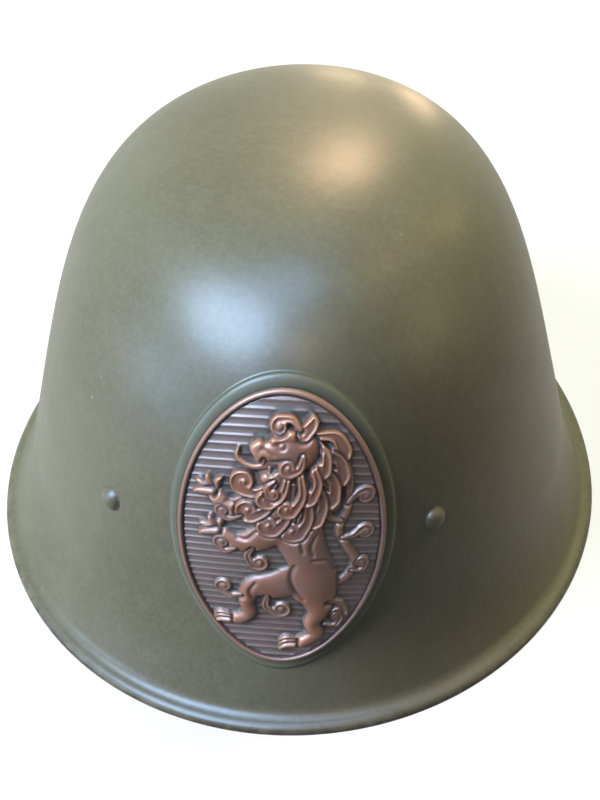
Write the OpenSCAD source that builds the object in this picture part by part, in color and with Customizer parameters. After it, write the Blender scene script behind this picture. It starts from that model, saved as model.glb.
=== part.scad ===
// Steel helmet with an oval bronze front badge, a riveted leather liner and a chin strap with a buckle.
// +Z is up and the front of the helmet faces -Y. The rim stands on the plane z = 0.
// Left and right are the wearer's own: right is -X.

/* [Shell] */
// Height of the crown above the rim
crown_height = 156; // [145:1:170]
// Thickness of the steel sheet
shell_wall = 1.3; // [1:0.1:1.8]
// Half the width over the rim
rim_half_width = 122.5; // [118:0.5:128]
// Reach of the rim in front of the ears
rim_front = 136; // [130:1:142]
// Reach of the rim behind the ears
rim_rear = 147; // [140:1:154]
// Half the width of the skull where the skirt starts
skull_half_width = 104.5; // [100:0.5:108]
// Reach of the skull in front of the ears
skull_front = 115; // [111:0.5:118]
// Reach of the skull behind the ears
skull_rear = 118.5; // [114:0.5:122]
// Height at which the skirt starts at the sides
skirt_side_height = 37; // [30:1:42]
// Height at which the skirt starts in front and behind
skirt_end_height = 50; // [42:1:56]
// Width of the turned-out lip along the rim
lip_width = 8; // [6:0.5:10]
// Height of the turned-out lip along the rim
lip_height = 8; // [6:0.5:10]

/* [Front badge] */
// Half the width of the bronze badge
badge_half_width = 32.5; // [26:0.5:36]
// Half the height of the bronze badge, seen from the front
badge_half_height = 48.5; // [40:0.5:50]
// Sideways place of the badge's centre; it sits a little to the wearer's left
badge_offset = 5; // [-6:0.5:6]
// Height of the badge's centre above the rim
badge_centre_height = 71; // [66:1:76]
// Thickness of the badge in its sunk field
badge_field = 0.9; // [0.6:0.1:1.5]
// Height of the badge's rim above its field
badge_bead = 1.3; // [0.8:0.1:2]
// Width of the steel seat that shows round the badge
seat_margin = 3.6; // [2:0.2:6]
// Thickness of the steel seat
seat_wall = 0.8; // [0.5:0.1:1.2]
// Diameter of the pins on the badge's back
badge_pin_d = 2.4; // [2:0.2:3]
// Distance between the badge's two pins
badge_pin_pitch = 50; // [40:1:60]

/* [Liner] */
// Height of the three liner rivets above the rim
liner_height = 67; // [62:1:72]
// Gap between the hoop and the shell, level with the rivets
liner_gap = 8; // [7:0.5:10]
// Drop from the liner rivets to the middle of the hoop
hoop_drop = 18; // [16:1:22]
// Height of the steel hoop
hoop_height = 20; // [16:1:24]
// Thickness of the steel hoop
hoop_wall = 0.8; // [0.6:0.1:1.2]
// Thickness of the felt behind the leather
felt_thickness = 3; // [2:0.5:4]
// Height of the felt
felt_height = 28; // [24:1:32]
// Thickness of the liner leather
leather_thickness = 1.2; // [0.8:0.1:1.8]
// Height of the sweatband
sweatband_height = 34; // [30:1:38]
// Rise of the leather tongues above their band
tongue_rise = 46; // [38:1:52]
// Reach of the tongues' ends from the middle, as a part of the band's reach
tongue_reach = 0.27; // [0.2:0.01:0.35]
// Thickness of the spring-steel tabs and the strap hangers
tab_wall = 1; // [0.8:0.1:1.4]
// Width of the spring-steel tabs
tab_width = 13; // [11:0.5:16]

/* [Rivets] */
// Diameter of the shell rivets' domed heads
rivet_head_d = 8; // [7:0.5:10]
// Height of the shell rivets' domed heads
rivet_head_h = 2.2; // [1.6:0.1:3]
// Diameter of the shell rivets' shanks
rivet_shank_d = 4; // [3:0.5:5]
// Thickness of the washers between the shell and the tabs
spacer_wall = 1.5; // [1:0.1:2]
// Diameter of the small rivets' heads
small_head_d = 5; // [4:0.5:6]
// Diameter of the small rivets' shanks
small_shank_d = 2.4; // [2:0.2:3]

/* [Chin strap] */
// Width of the strap
strap_width = 18; // [15:1:20]
// Thickness of the strap leather
strap_thickness = 1.6; // [1.2:0.1:2]
// Diameter of the wire of the strap loops
loop_wire_d = 2.4; // [2:0.2:3]
// Height of the strap loops, between the centres of their bars
loop_height = 13; // [11:0.5:15]
// Reach of the buckle half from its loop to the buckle's bar
short_run = 60; // [58:1:66]
// Gap on the floor between the buckle and the turn of the long half
strap_gap = 3.4; // [2:0.2:8]
// Length of the long half's turned-back end
return_run = 56; // [50:1:60]
// Distance between the buckle holes
hole_pitch = 9; // [8:0.5:10]
// Diameter of the buckle's wire
buckle_wire_d = 2.2; // [1.8:0.2:2.6]
// Length of the buckle between its two bars
buckle_length = 17; // [15:0.5:18]
// Length of the keeper along the strap
keeper_length = 7; // [5:0.5:8]

/* [Hidden] */

$fn = 32;
ear_y = (rim_front - rim_rear) / 2;
columns = 64;
steps = [11, 5, 4, 3];
side_lean = 16.5;
front_lean = 5;
rear_lean = 8;
side_flare = 34;
end_flare = 28;
brow = 3;
brow_lean = 78;
// Clearance on each side of a pin or a rivet in its bore, between seated faces, and under the shell,
// where a flat washer meets a curved sheet
play = 0.1;
rivet_play = 0.05;
seat = 0.02;
washer_gap = 0.65;

// Points along a cubic curve and its direction
function curve(p, t) =
    pow(1 - t, 3) * p[0] + 3 * pow(1 - t, 2) * t * p[1] + 3 * (1 - t) * t * t * p[2] + pow(t, 3) * p[3];
function slope(p, t) =
    pow(1 - t, 2) * (p[1] - p[0]) + 2 * (1 - t) * t * (p[2] - p[1]) + t * t * (p[3] - p[2]);
// A direction in a guide's plane: 0 is straight down and 90 straight out
function lean(deg) = [sin(deg), -cos(deg)];
function blend(u) = u * u * (3 - 2 * u);

// A guide is the shell's outline in one upright plane: crown, skirt, turned-out lip and rolled edge
function guide(skull, skull_z, skull_lean, crown_pull, side_pull, rim, flare) =
    let (
        waist = [skull, skull_z],
        lip = [rim - lip_width, lip_height],
        bead = [rim - brow, brow],
        skirt_pull = 0.38 * norm(lip - waist),
        lip_pull = 0.4 * norm(bead - lip),
        edge_pull = 0.57 * brow
    )
    [[[0, crown_height], [crown_pull * skull, crown_height],
      waist - lean(skull_lean) * side_pull * (crown_height - skull_z) / cos(skull_lean), waist],
     [waist, waist + lean(skull_lean) * skirt_pull, lip - lean(flare) * skirt_pull, lip],
     [lip, lip + lean(flare) * lip_pull, bead - lean(brow_lean) * lip_pull, bead],
     [bead, bead + lean(brow_lean) * edge_pull, [rim, edge_pull], [rim, 0]]];

side_guide = guide(skull_half_width, skirt_side_height, side_lean, 0.72, 0.73, rim_half_width, side_flare);
front_guide = guide(skull_front, skirt_end_height, front_lean, 0.65, 0.76, rim_front, end_flare);
rear_guide = guide(skull_rear, skirt_end_height, rear_lean, 0.65, 0.76, rim_rear, side_flare);

// A point of a guide, moved outwards by lift; the station runs from 0 at the crown to 4 at the edge
function guide_point(g, station, lift) =
    let (i = min(3, floor(station)), t = station - i, d = slope(g[i], t), n = [-d[1], d[0]] / norm(d))
    curve(g[i], t) + lift * n;

// The shell's surface: the three guides blended round the head, with azimuth 0 in front and 90 at +X
function shell_point(azimuth, station, lift) =
    let (
        side = guide_point(side_guide, station, lift),
        end = guide_point(cos(azimuth) > 0 ? front_guide : rear_guide, station, lift)
    )
    [side[0] * sin(azimuth), ear_y - end[0] * cos(azimuth),
     side[1] * pow(sin(azimuth), 2) + end[1] * pow(cos(azimuth), 2)];

// The shell's outward direction at a place
function shell_normal(azimuth, station) =
    let (
        across = shell_point(azimuth + 1, station, 0) - shell_point(azimuth - 1, station, 0),
        down = shell_point(azimuth, station + 0.02, 0) - shell_point(azimuth, station - 0.02, 0),
        n = cross(down, across)
    )
    n / norm(n);

// The station at which the shell has a height, found by halving
function station_at(azimuth, z, low = 0, high = 3, rounds = 18) =
    let (mid = (low + high) / 2)
    rounds == 0 ? mid
    : shell_point(azimuth, mid, 0)[2] > z ? station_at(azimuth, z, mid, high, rounds - 1)
    : station_at(azimuth, z, low, mid, rounds - 1);

// The station on the shell's front with sideways place x and height z, and the azimuth that goes with it
function front_azimuth(x, station) =
    asin(max(-1, min(1, x / max(0.01, guide_point(side_guide, station, 0)[0]))));
function front_station(x, z, low = 0.3, high = 3, rounds = 18) =
    let (mid = (low + high) / 2)
    rounds == 0 ? mid
    : shell_point(front_azimuth(x, mid), mid, 0)[2] > z ? front_station(x, z, mid, high, rounds - 1)
    : front_station(x, z, low, mid, rounds - 1);
function front_point(x, z, lift) =
    let (s = front_station(x, z), a = front_azimuth(x, s))
    shell_point(a, s, 0) + lift * shell_normal(a, s);

// Faces of a pile of equal rings, and of a fan that closes its first or last ring
function ring_faces(rings, sides) =
    [for (j = [0 : rings - 2], i = [0 : sides - 1])
        let (a = j * sides + i, b = j * sides + (i + 1) % sides)
        each [[a, b, b + sides], [a, b + sides, a + sides]]];
function first_fan(tip, sides) = [for (i = [0 : sides - 1]) [tip, (i + 1) % sides, i]];
function last_fan(tip, base, sides) = [for (i = [0 : sides - 1]) [tip, base + i, base + (i + 1) % sides]];

module shell_skin() {
    stations = [for (i = [0 : 3], k = [1 : steps[i]]) i + k / steps[i]];
    last = len(stations) - 1;
    outer = [for (j = [0 : last], i = [0 : columns - 1]) shell_point(i * 360 / columns, stations[j], 0)];
    inner = [for (j = [last : -1 : 0], i = [0 : columns - 1])
        shell_point(i * 360 / columns, stations[j], -shell_wall)];
    tip = len(outer) + len(inner);
    polyhedron(
        concat(outer, inner, [[0, ear_y, crown_height], [0, ear_y, crown_height - shell_wall]]),
        concat(
            ring_faces(2 * last + 2, columns),
            first_fan(tip, columns),
            last_fan(tip + 1, tip - columns, columns)));
}

// The hoop is an oval of flat facets round the ears. Facet 0 is in front and facets go round through +X.
hoop_facets = 48;
front_facet = 5;
rear_facet = 24;
ear_facet = 12;
facet_step = 360 / hoop_facets;
function inner_reach(azimuth) =
    let (p = shell_point(azimuth, station_at(azimuth, liner_height), -shell_wall))
    norm([p[0], p[1] - ear_y]);
hoop_side = inner_reach(90) - liner_gap;
hoop_front = inner_reach(0) - liner_gap;
hoop_rear = inner_reach(180) - liner_gap;

// The point of the oval that faces a heading, moved inwards by inset
function oval_point(heading, inset) =
    let (
        b = hoop_side,
        a = cos(heading) > 0 ? hoop_front : hoop_rear,
        k = norm([b * sin(heading), a * cos(heading)])
    )
    [b * b * sin(heading) / k - inset * sin(heading),
     ear_y - a * a * cos(heading) / k + inset * cos(heading)];
function facet_corner(i, inset) = oval_point((i - 0.5) * facet_step, inset);
function facet_middle(i, inset) = (facet_corner(i, inset) + facet_corner(i + 1, inset)) / 2;
function facet_turn(i) =
    let (d = facet_corner(i + 1, 0) - facet_corner(i, 0)) atan2(-d[0], d[1]);

// A frame on a facet: +X points out of the hoop, Y runs along it and Z is the height above the rim
module at_facet(i) {
    m = facet_middle(i, 0);
    translate([m[0], m[1], 0]) rotate([0, 0, facet_turn(i)]) children();
}

// The place straight in front of a facet where the shell has the rivets' height
function facing_azimuth(i, low, high, rounds = 16) =
    let (
        mid = (low + high) / 2,
        p = shell_point(mid, station_at(mid, liner_height), 0),
        m = facet_middle(i, 0),
        turn = facet_turn(i),
        off = -(p[0] - m[0]) * sin(turn) + (p[1] - m[1]) * cos(turn)
    )
    rounds == 0 ? mid : off < 0 ? facing_azimuth(i, mid, high, rounds - 1)
    : facing_azimuth(i, low, mid, rounds - 1);
function rivet_data(i) =
    let (
        guess = i * facet_step,
        a = facing_azimuth(i, guess - 20, guess + 20),
        s = station_at(a, liner_height),
        p = shell_point(a, s, 0),
        n = shell_normal(a, s),
        m = facet_middle(i, 0),
        turn = facet_turn(i)
    )
    [(p[0] - m[0]) * cos(turn) + (p[1] - m[1]) * sin(turn), p[2],
     atan2(n[2], n[0] * cos(turn) + n[1] * sin(turn))];
rivets = [for (i = [-front_facet, front_facet, rear_facet]) concat([i], rivet_data(i))];

// A frame on a shell rivet: the origin is on the outside of the shell and +Z points out of it
module at_rivet(r) {
    at_facet(r[0]) translate([r[1], 0, r[2]]) rotate([0, 90 - r[3], 0]) children();
}

// The stack under a shell rivet, from the shell inwards
spacer_d = 11;
burr_d = 9;
burr_wall = 0.8;
rivet_tail_d = 6.4;
rivet_tail_h = 1;
spacer_top = shell_wall + washer_gap;
tab_top = spacer_top + spacer_wall + seat;
burr_top = tab_top + tab_wall + seat;
tail_top = burr_top + burr_wall + seat;

module dome(d, h) {
    r = (d * d / 4 + h * h) / (2 * h);
    intersection() {
        translate([0, 0, h - r]) sphere(r = r, $fn = 48);
        cylinder(h = h + 1, d = d + 1);
    }
}

// A rivet with its domed head above z = 0 and its flat tail below -grip
module rivet(head_d, head_h, shank_d, grip, tail_d, tail_h) {
    dome(head_d, head_h);
    translate([0, 0, -grip - tail_h / 2]) cylinder(h = grip + tail_h / 2 + head_h / 3, d = shank_d);
    translate([0, 0, -grip - tail_h]) cylinder(h = tail_h, d = tail_d);
}

module washer(outside, hole, wall) {
    difference() {
        cylinder(h = wall, d = outside, $fn = 48);
        translate([0, 0, -1]) cylinder(h = wall + 2, d = hole);
    }
}

// The two pins of the badge, one above the other; at_pin's +Z points out of the shell
pin_heights = [for (k = [-1, 1]) badge_centre_height + k * badge_pin_pitch / 2];
module at_pin(z) {
    s = front_station(badge_offset, z);
    a = front_azimuth(badge_offset, s);
    n = shell_normal(a, s);
    translate(shell_point(a, s, 0)) rotate([0, acos(n[2]), atan2(n[1], n[0])]) children();
}

module shell() {
    color([0.29, 0.3, 0.22])
    difference() {
        shell_skin();
        for (r = rivets)
            at_rivet(r) translate([0, 0, -6]) cylinder(h = 12, d = rivet_shank_d + 2 * rivet_play);
        for (z = pin_heights)
            at_pin(z) translate([0, 0, -4]) cylinder(h = 8, d = badge_pin_d + 2 * play);
    }
}

// An oval plate that follows the shell's front. Each ring is [half its width, half its height, lift].
module front_oval(rings) {
    sides = 48;
    ends = [rings[0], rings[len(rings) - 1]];
    points = [for (r = rings, i = [0 : sides - 1])
        let (a = i * 360 / sides)
        front_point(badge_offset - r[0] * sin(a), badge_centre_height + r[1] * cos(a), r[2])];
    polyhedron(
        concat(points, [for (r = ends) front_point(badge_offset, badge_centre_height, r[2])]),
        concat(
            ring_faces(len(rings), sides),
            first_fan(len(points), sides),
            last_fan(len(points) + 1, len(points) - sides, sides)));
}

// Rings at a part of the badge's size, which the faces that lie on each other share
function badge_ring(part, lift) = [part * badge_half_width, part * badge_half_height, lift];

seat_lift = 0.25;
seat_round = 0.5;
badge_gap = 0.15;
badge_lift = seat_lift + seat_wall + badge_gap;
badge_washer_d = 8;
badge_washer_wall = 0.8;
pin_tail = 0.9;

module badge_seat() {
    top = seat_lift + seat_wall;
    w = badge_half_width + seat_margin;
    h = badge_half_height + seat_margin;
    color([0.27, 0.3, 0.2])
    difference() {
        front_oval(concat(
            [for (k = [1 : 4]) badge_ring(k / 4, top)],
            [[w - seat_round, h - seat_round, top], [w, h, top - seat_round], [w, h, seat_lift]],
            [for (k = [4 : -1 : 1]) badge_ring(k / 4, seat_lift)]));
        for (z = pin_heights)
            at_pin(z) translate([0, 0, -4]) cylinder(h = 8, d = badge_pin_d + 2 * play);
    }
}

// The rim's round back, as [part of its width from the edge, part of its height]
rim_width = 3;
rim_back = [[1, 0], [0.81, 0.62], [0.58, 1], [0.31, 1], [0.1, 0.54], [0, 0]];

module front_badge() {
    low = badge_lift + badge_field;
    tail = shell_wall + washer_gap + badge_washer_wall + pin_tail;
    color([0.45, 0.3, 0.22]) {
        front_oval(concat(
            [for (k = [1 : 3]) badge_ring(k / 4, low)],
            [for (r = rim_back)
                [badge_half_width - r[0] * rim_width, badge_half_height - r[0] * rim_width,
                 low + r[1] * badge_bead]],
            [for (k = [4 : -1 : 1]) badge_ring(k / 4, badge_lift)]));
        for (z = pin_heights)
            at_pin(z) translate([0, 0, -tail])
                cylinder(h = tail + badge_lift + badge_field / 2, d = badge_pin_d);
    }
}

module badge_washers() {
    color([0.5, 0.48, 0.42])
    for (z = pin_heights)
        at_pin(z) translate([0, 0, -shell_wall - washer_gap - badge_washer_wall])
            washer(badge_washer_d, badge_pin_d + 2 * seat, badge_washer_wall);
}

module shell_rivet(r) {
    color([0.3, 0.31, 0.23])
    at_rivet(r) translate([0, 0, seat])
        rivet(rivet_head_d, rivet_head_h, rivet_shank_d, tail_top + seat, rivet_tail_d, rivet_tail_h);
}

module liner_rivet_right() { shell_rivet(rivets[0]); }
module liner_rivet_left() { shell_rivet(rivets[1]); }
module liner_rivet_rear() { shell_rivet(rivets[2]); }

module spacer_washers() {
    color([0.5, 0.48, 0.42])
    for (r = rivets)
        at_rivet(r) translate([0, 0, -spacer_top - spacer_wall])
            washer(spacer_d, rivet_shank_d + 2 * rivet_play, spacer_wall);
}

module burr_washers() {
    color([0.5, 0.48, 0.42])
    for (r = rivets)
        at_rivet(r) translate([0, 0, -burr_top - burr_wall])
            washer(burr_d, rivet_shank_d + 2 * rivet_play, burr_wall);
}

// The outline of a strip of even thickness along a path of points
function unit(v) = v / norm(v);
function side_of(path, i) =
    let (
        last = len(path) - 1,
        a = unit(path[min(i + 1, last)] - path[min(i, last - 1)]),
        b = unit(path[max(i, 1)] - path[max(i - 1, 0)]),
        n = [-a[1], a[0]],
        m = [-b[1], b[0]]
    )
    (n + m) / (1 + n * m);
function strip(path, wall) =
    let (last = len(path) - 1)
    concat([for (i = [0 : last]) path[i] + side_of(path, i) * wall / 2],
           [for (i = [last : -1 : 0]) path[i] - side_of(path, i) * wall / 2]);
function arc(centre, r, from, to, count) =
    [for (k = [0 : count]) let (a = from + (to - from) * k / count) centre + r * [cos(a), sin(a)]];

// Stands a flat outline up, so that its second direction is the height
module upright(width) {
    rotate([90, 0, 0]) linear_extrude(height = width, center = true) children();
}

hoop_middle = liner_height - hoop_drop;
tab_end = 6;

// A tab is bent twice: its upper end lies under the shell rivet and its lower end on the hoop
module liner_tab(r) {
    out = [cos(r[3]), sin(r[3])];
    down = [sin(r[3]), -cos(r[3])];
    head = [r[1], r[2]] - out * (tab_top + tab_wall / 2);
    flat = seat + tab_wall / 2;
    path = [head - down * tab_end, head + down * tab_end,
            [flat, hoop_middle + tab_end], [flat, hoop_middle - tab_end]];
    color([0.42, 0.42, 0.4])
    difference() {
        at_facet(r[0]) upright(tab_width) polygon(strip(path, tab_wall));
        at_rivet(r) translate([0, 0, -tab_top - tab_wall - 1])
            cylinder(h = tab_wall + 2, d = rivet_shank_d + 2 * rivet_play);
        at_facet(r[0]) translate([-1, 0, hoop_middle]) rotate([0, 90, 0])
            cylinder(h = 4, d = small_shank_d + 2 * rivet_play);
    }
}

module liner_tab_right() { liner_tab(rivets[0]); }
module liner_tab_left() { liner_tab(rivets[1]); }
module liner_tab_rear() { liner_tab(rivets[2]); }

// A band round the head between two insets of the oval
module oval_band(inset, wall, low, high) {
    translate([0, 0, low]) linear_extrude(height = high - low)
        difference() {
            polygon([for (i = [0 : hoop_facets - 1]) facet_corner(i, inset)]);
            polygon([for (i = [0 : hoop_facets - 1]) facet_corner(i, inset + wall)]);
        }
}

felt_inset = hoop_wall + seat;
tongue_inset = felt_inset + felt_thickness + seat;
sweat_inset = tongue_inset + leather_thickness + seat;
sweat_end = sweat_inset + leather_thickness;
band_facets = [for (k = [0 : 11]) 2 + 4 * k];
hanger_rivet_y = 4.6;
hanger_rivet_z = hoop_middle + 3;

// The bores of the rivets that hold the leather and felt on the hoop
module band_bores() {
    for (i = band_facets)
        at_facet(i) translate([-sweat_end - 2, 0, hoop_middle]) rotate([0, 90, 0])
            cylinder(h = sweat_end + 4, d = small_shank_d + 2 * rivet_play);
}

// Room for the tails of the rivets that end behind the felt, or their bores when grow is 0
module hoop_rivet_places(d, from, depth) {
    for (r = rivets)
        at_facet(r[0]) translate([from, 0, hoop_middle]) rotate([0, 90, 0]) cylinder(h = depth, d = d);
    for (i = [-ear_facet, ear_facet], y = [-hanger_rivet_y, hanger_rivet_y])
        at_facet(i) translate([from, y, hanger_rivet_z]) rotate([0, 90, 0]) cylinder(h = depth, d = d);
}

module liner_hoop() {
    color([0.45, 0.45, 0.43])
    difference() {
        oval_band(0, hoop_wall, hoop_middle - hoop_height / 2, hoop_middle + hoop_height / 2);
        band_bores();
        hoop_rivet_places(small_shank_d + 2 * rivet_play, -3, 6);
    }
}

module small_rivet(grip) {
    rivet(small_head_d, 1.2, small_shank_d, grip, small_head_d - 0.6, 0.7);
}

module tab_rivets() {
    color([0.55, 0.5, 0.38])
    for (r = rivets)
        at_facet(r[0]) translate([2 * seat + tab_wall, 0, hoop_middle]) rotate([0, 90, 0])
            small_rivet(tab_wall + hoop_wall + 3 * seat);
}

module felt_band() {
    color([0.36, 0.34, 0.28])
    difference() {
        oval_band(felt_inset, felt_thickness, hoop_middle - felt_height / 2, hoop_middle + felt_height / 2);
        band_bores();
        hoop_rivet_places(small_head_d + 0.4, -hoop_wall - 1.2, 3);
    }
}

// The tongue leather is a band whose upper edge is cut into eight tongues that curve in over the head
tongues = 8;
tongue_rows = 8;
tongue_root = hoop_middle + sweatband_height / 2 - 1.5;
tongue_foot = hoop_middle - 10;
per_tongue = hoop_facets / tongues;
function tongue_place(i) = let (k = ((i - 0.5) % per_tongue + per_tongue) % per_tongue) k - per_tongue / 2;
function tongue_point(i, row, inset, rise) =
    let (
        u = tongue_place(i) / (per_tongue / 2 - 0.5),
        t = (row / tongue_rows) * (1 - 0.1 * u * u),
        reach = 1 - (1 - tongue_reach) * (1 - cos(90 * t)),
        heading = (i - 0.5 - tongue_place(i) * 0.16 * t) * facet_step,
        p = oval_point(heading, inset)
    )
    [p[0] * reach, ear_y + (p[1] - ear_y) * reach, tongue_root + rise * sin(90 * t)];

module tongue_leather() {
    n = hoop_facets;
    rows = tongue_rows + 2;
    skin = rows * n;
    points = [for (k = [0, 1], row = [-1 : tongue_rows], i = [0 : n - 1])
        let (inset = tongue_inset + k * leather_thickness, p = oval_point((i - 0.5) * facet_step, inset))
        row < 0 ? [p[0], p[1], tongue_foot]
        : row == 0 ? [p[0], p[1], tongue_root]
        : tongue_point(i, row, inset, tongue_rise - k * leather_thickness)];
    // Column i lies between corners i and i + 1; the columns between two tongues end at the root
    full = [for (row = [0 : rows - 2]) [for (i = [0 : n - 1]) row == 0 || i % per_tongue != 0]];
    faces = [for (row = [0 : rows - 2], i = [0 : n - 1]) if (full[row][i])
        let (
            b = (i + 1) % n,
            p = row * n + i, q = row * n + b, r = p + n, s = q + n,
            left = (i + n - 1) % n
        )
        each concat(
            [[p, s, q], [p, r, s], [p + skin, q + skin, s + skin], [p + skin, s + skin, r + skin]],
            row == 0 ? [[p, q, q + skin], [p, q + skin, p + skin]] : [],
            row == rows - 2 || !full[row + 1][i] ? [[r, s + skin, s], [r, r + skin, s + skin]] : [],
            full[row][left] ? [] : [[p, r + skin, r], [p, p + skin, r + skin]],
            full[row][b] ? [] : [[q, s, s + skin], [q, s + skin, q + skin]])];
    color([0.4, 0.27, 0.17])
    difference() {
        polyhedron(points, faces);
        band_bores();
        for (k = [0 : tongues - 1])
            let (p = tongue_point((k + 0.5) * per_tongue + 0.5, tongue_rows - 1, tongue_inset, tongue_rise))
            translate([p[0], p[1], p[2] - 4]) cylinder(h = 8, d = 4.5);
    }
}

module sweatband() {
    color([0.45, 0.3, 0.19])
    difference() {
        oval_band(sweat_inset, leather_thickness, hoop_middle - sweatband_height / 2 - 2,
            hoop_middle + sweatband_height / 2 - 2);
        band_bores();
    }
}

module sweatband_rivets() {
    color([0.55, 0.5, 0.38])
    for (i = band_facets)
        at_facet(i) translate([-sweat_end - seat - 0.1, 0, hoop_middle]) rotate([0, -90, 0])
            small_rivet(sweat_end + 2 * seat + 0.1);
}

// The loops hang from the hangers, and the strap halves hang from the loops
loop_drop = 13;
loop_room = 3;
loop_x = seat + tab_wall + loop_wire_d / 2 + play;
loop_z = hoop_middle - loop_drop;
bar_z = loop_z - loop_height;
loop_half = strap_width / 2 + loop_room;
hanger_half = 8;
hanger_rise = 9;

module strap_hanger(i) {
    bore = loop_wire_d + 2 * play;
    color([0.42, 0.42, 0.4])
    at_facet(i) difference() {
        union() {
            translate([seat, -hanger_half, loop_z])
                cube([tab_wall, 2 * hanger_half, hoop_middle + hanger_rise - loop_z]);
            translate([loop_x, hanger_half, loop_z]) rotate([90, 0, 0])
                cylinder(h = 2 * hanger_half, d = bore + 2 * tab_wall);
        }
        translate([loop_x, hanger_half + 1, loop_z]) rotate([90, 0, 0])
            cylinder(h = 2 * hanger_half + 2, d = bore);
        for (y = [-hanger_rivet_y, hanger_rivet_y])
            translate([-1, y, hanger_rivet_z]) rotate([0, 90, 0])
                cylinder(h = 4, d = small_shank_d + 2 * rivet_play);
    }
}

module strap_hanger_right() { strap_hanger(-ear_facet); }
module strap_hanger_left() { strap_hanger(ear_facet); }

module hanger_rivets() {
    color([0.55, 0.5, 0.38])
    for (i = [-ear_facet, ear_facet], y = [-hanger_rivet_y, hanger_rivet_y])
        at_facet(i) translate([2 * seat + tab_wall, y, hanger_rivet_z]) rotate([0, 90, 0])
            small_rivet(tab_wall + hoop_wall + 3 * seat);
}

// A closed loop of round wire in the XY plane, with one bar through the origin along Y
module wire_loop(half_width, length, wire_d, bend) {
    for (x = [0, length])
        translate([x, half_width - bend, 0]) rotate([90, 0, 0])
            cylinder(h = 2 * (half_width - bend), d = wire_d);
    for (y = [-half_width, half_width])
        translate([bend, y, 0]) rotate([0, 90, 0]) cylinder(h = length - 2 * bend, d = wire_d);
    for (k = [0, 1], m = [0, 1])
        translate([k == 0 ? bend : length - bend, m == 0 ? bend - half_width : half_width - bend, 0])
            rotate([0, 0, k == 0 ? (m == 0 ? 180 : 90) : (m == 0 ? 270 : 0)])
            rotate_extrude(angle = 90) translate([bend, 0]) circle(d = wire_d);
}

wire_bend = 2.4;

module strap_loop(i) {
    color([0.45, 0.45, 0.43])
    at_facet(i) translate([loop_x, 0, loop_z]) rotate([0, 90, 0])
        wire_loop(loop_half, loop_height, loop_wire_d, wire_bend);
}

module strap_loop_right() { strap_loop(-ear_facet); }
module strap_loop_left() { strap_loop(ear_facet); }

// A frame on a loop's lower bar: +X points inwards, across the head, and Z is the height above the rim
module at_bar(i) {
    at_facet(i) translate([loop_x, 0, 0]) rotate([0, 0, 180]) children();
}

// A strap half leaves its loop at a slope and turns to lie level, with its middle at the height lay
lay_long = strap_thickness / 2;
lay_short = 1 + strap_thickness / 2;
double = strap_thickness + 0.04;
fall = [cos(45), -sin(45)];
rise = [sin(45), cos(45)];
fold = loop_wire_d / 2 + play + strap_thickness / 2;
bend_r = 18;
end_lap = 15;
end_spread = 8;
strap_rivet_reach = 11.5;
bar = [0, bar_z];
function slope_end(lay) =
    bar - fold * rise + fall * (bar_z - fold * rise[1] - lay - bend_r * (1 - cos(45))) / sin(45);
function loop_end(lay) = concat(
    [bar + end_lap * fall + (double - fold) * rise],
    [for (k = [0 : 6])
        bar + (1 - 0.94 * k / 6) * end_spread * fall
            + (double - fold + (2 * fold - double) * blend(k / 6)) * rise],
    arc(bar, fold, 45, 225, 12),
    [slope_end(lay)],
    arc(slope_end(lay) + bend_r * rise, bend_r, 229, 270, 8));

turn_r = 3;
turn_taper = 28;
roller_d = buckle_wire_d + 1.6;
loop_span = 2 * (facet_middle(ear_facet, 0)[0] + loop_x);
long_run = loop_span - short_run - buckle_length - roller_d / 2 - strap_gap - turn_r - strap_thickness / 2;
long_path = concat(
    loop_end(lay_long),
    arc([long_run, lay_long + turn_r], turn_r, -90, 90, 10),
    [for (k = [1 : 10])
        [long_run - turn_taper * k / 10, lay_long + 2 * turn_r - (2 * turn_r - double) * blend(k / 10)]],
    [[long_run - return_run, lay_long + double]]);
buckle_r = buckle_wire_d / 2 + play + strap_thickness / 2;
buckle_z = lay_short + buckle_r;
buckle_taper = 8;
short_return = 17;
buckle_rivet_reach = 12.5;
short_path = concat(
    loop_end(lay_short),
    arc([short_run, buckle_z], buckle_r, -90, 90, 10),
    [for (k = [1 : 6])
        [short_run - buckle_taper * k / 6,
         lay_short + 2 * buckle_r - (2 * buckle_r - double) * blend(k / 6)]],
    [[short_run - short_return, lay_short + double]]);
strap_rivet_at = bar + strap_rivet_reach * fall + (double / 2 - fold) * rise;
strap_grip = strap_thickness + double + 2 * seat;

module loop_end_bores() {
    translate([0, strap_width, bar_z]) rotate([90, 0, 0])
        cylinder(h = 2 * strap_width, d = loop_wire_d + 2 * play);
    translate([strap_rivet_at[0], 0, strap_rivet_at[1]]) rotate([0, 45, 0]) translate([0, 0, -4])
        cylinder(h = 8, d = small_shank_d + 2 * rivet_play);
}

first_hole = 9;
hole_d = 3;
tip_half = 2.5;
tip_taper = 8;

module strap_long() {
    tip = long_run - return_run;
    color([0.38, 0.25, 0.16])
    at_bar(-ear_facet) difference() {
        upright(strap_width) polygon(strip(long_path, strap_thickness));
        loop_end_bores();
        for (k = [0 : 3])
            translate([tip + first_hole + k * hole_pitch, 0, lay_long + strap_thickness / 2 + 0.02])
                cylinder(h = 4, d = hole_d);
        for (m = [0, 1])
            mirror([0, m, 0]) translate([0, 0, lay_long + strap_thickness / 2 + 0.02])
                linear_extrude(height = 3)
                    polygon([[tip - 1, tip_half], [tip - 1, strap_width], [tip + tip_taper, strap_width],
                             [tip + tip_taper, strap_width / 2]]);
    }
}

module end_rivet() {
    translate([strap_rivet_at[0], 0, strap_rivet_at[1]]) rotate([0, 45, 0])
        translate([0, 0, strap_grip / 2])
            rivet(small_head_d, 0.9, small_shank_d, strap_grip, small_head_d, 0.8);
}

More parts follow.
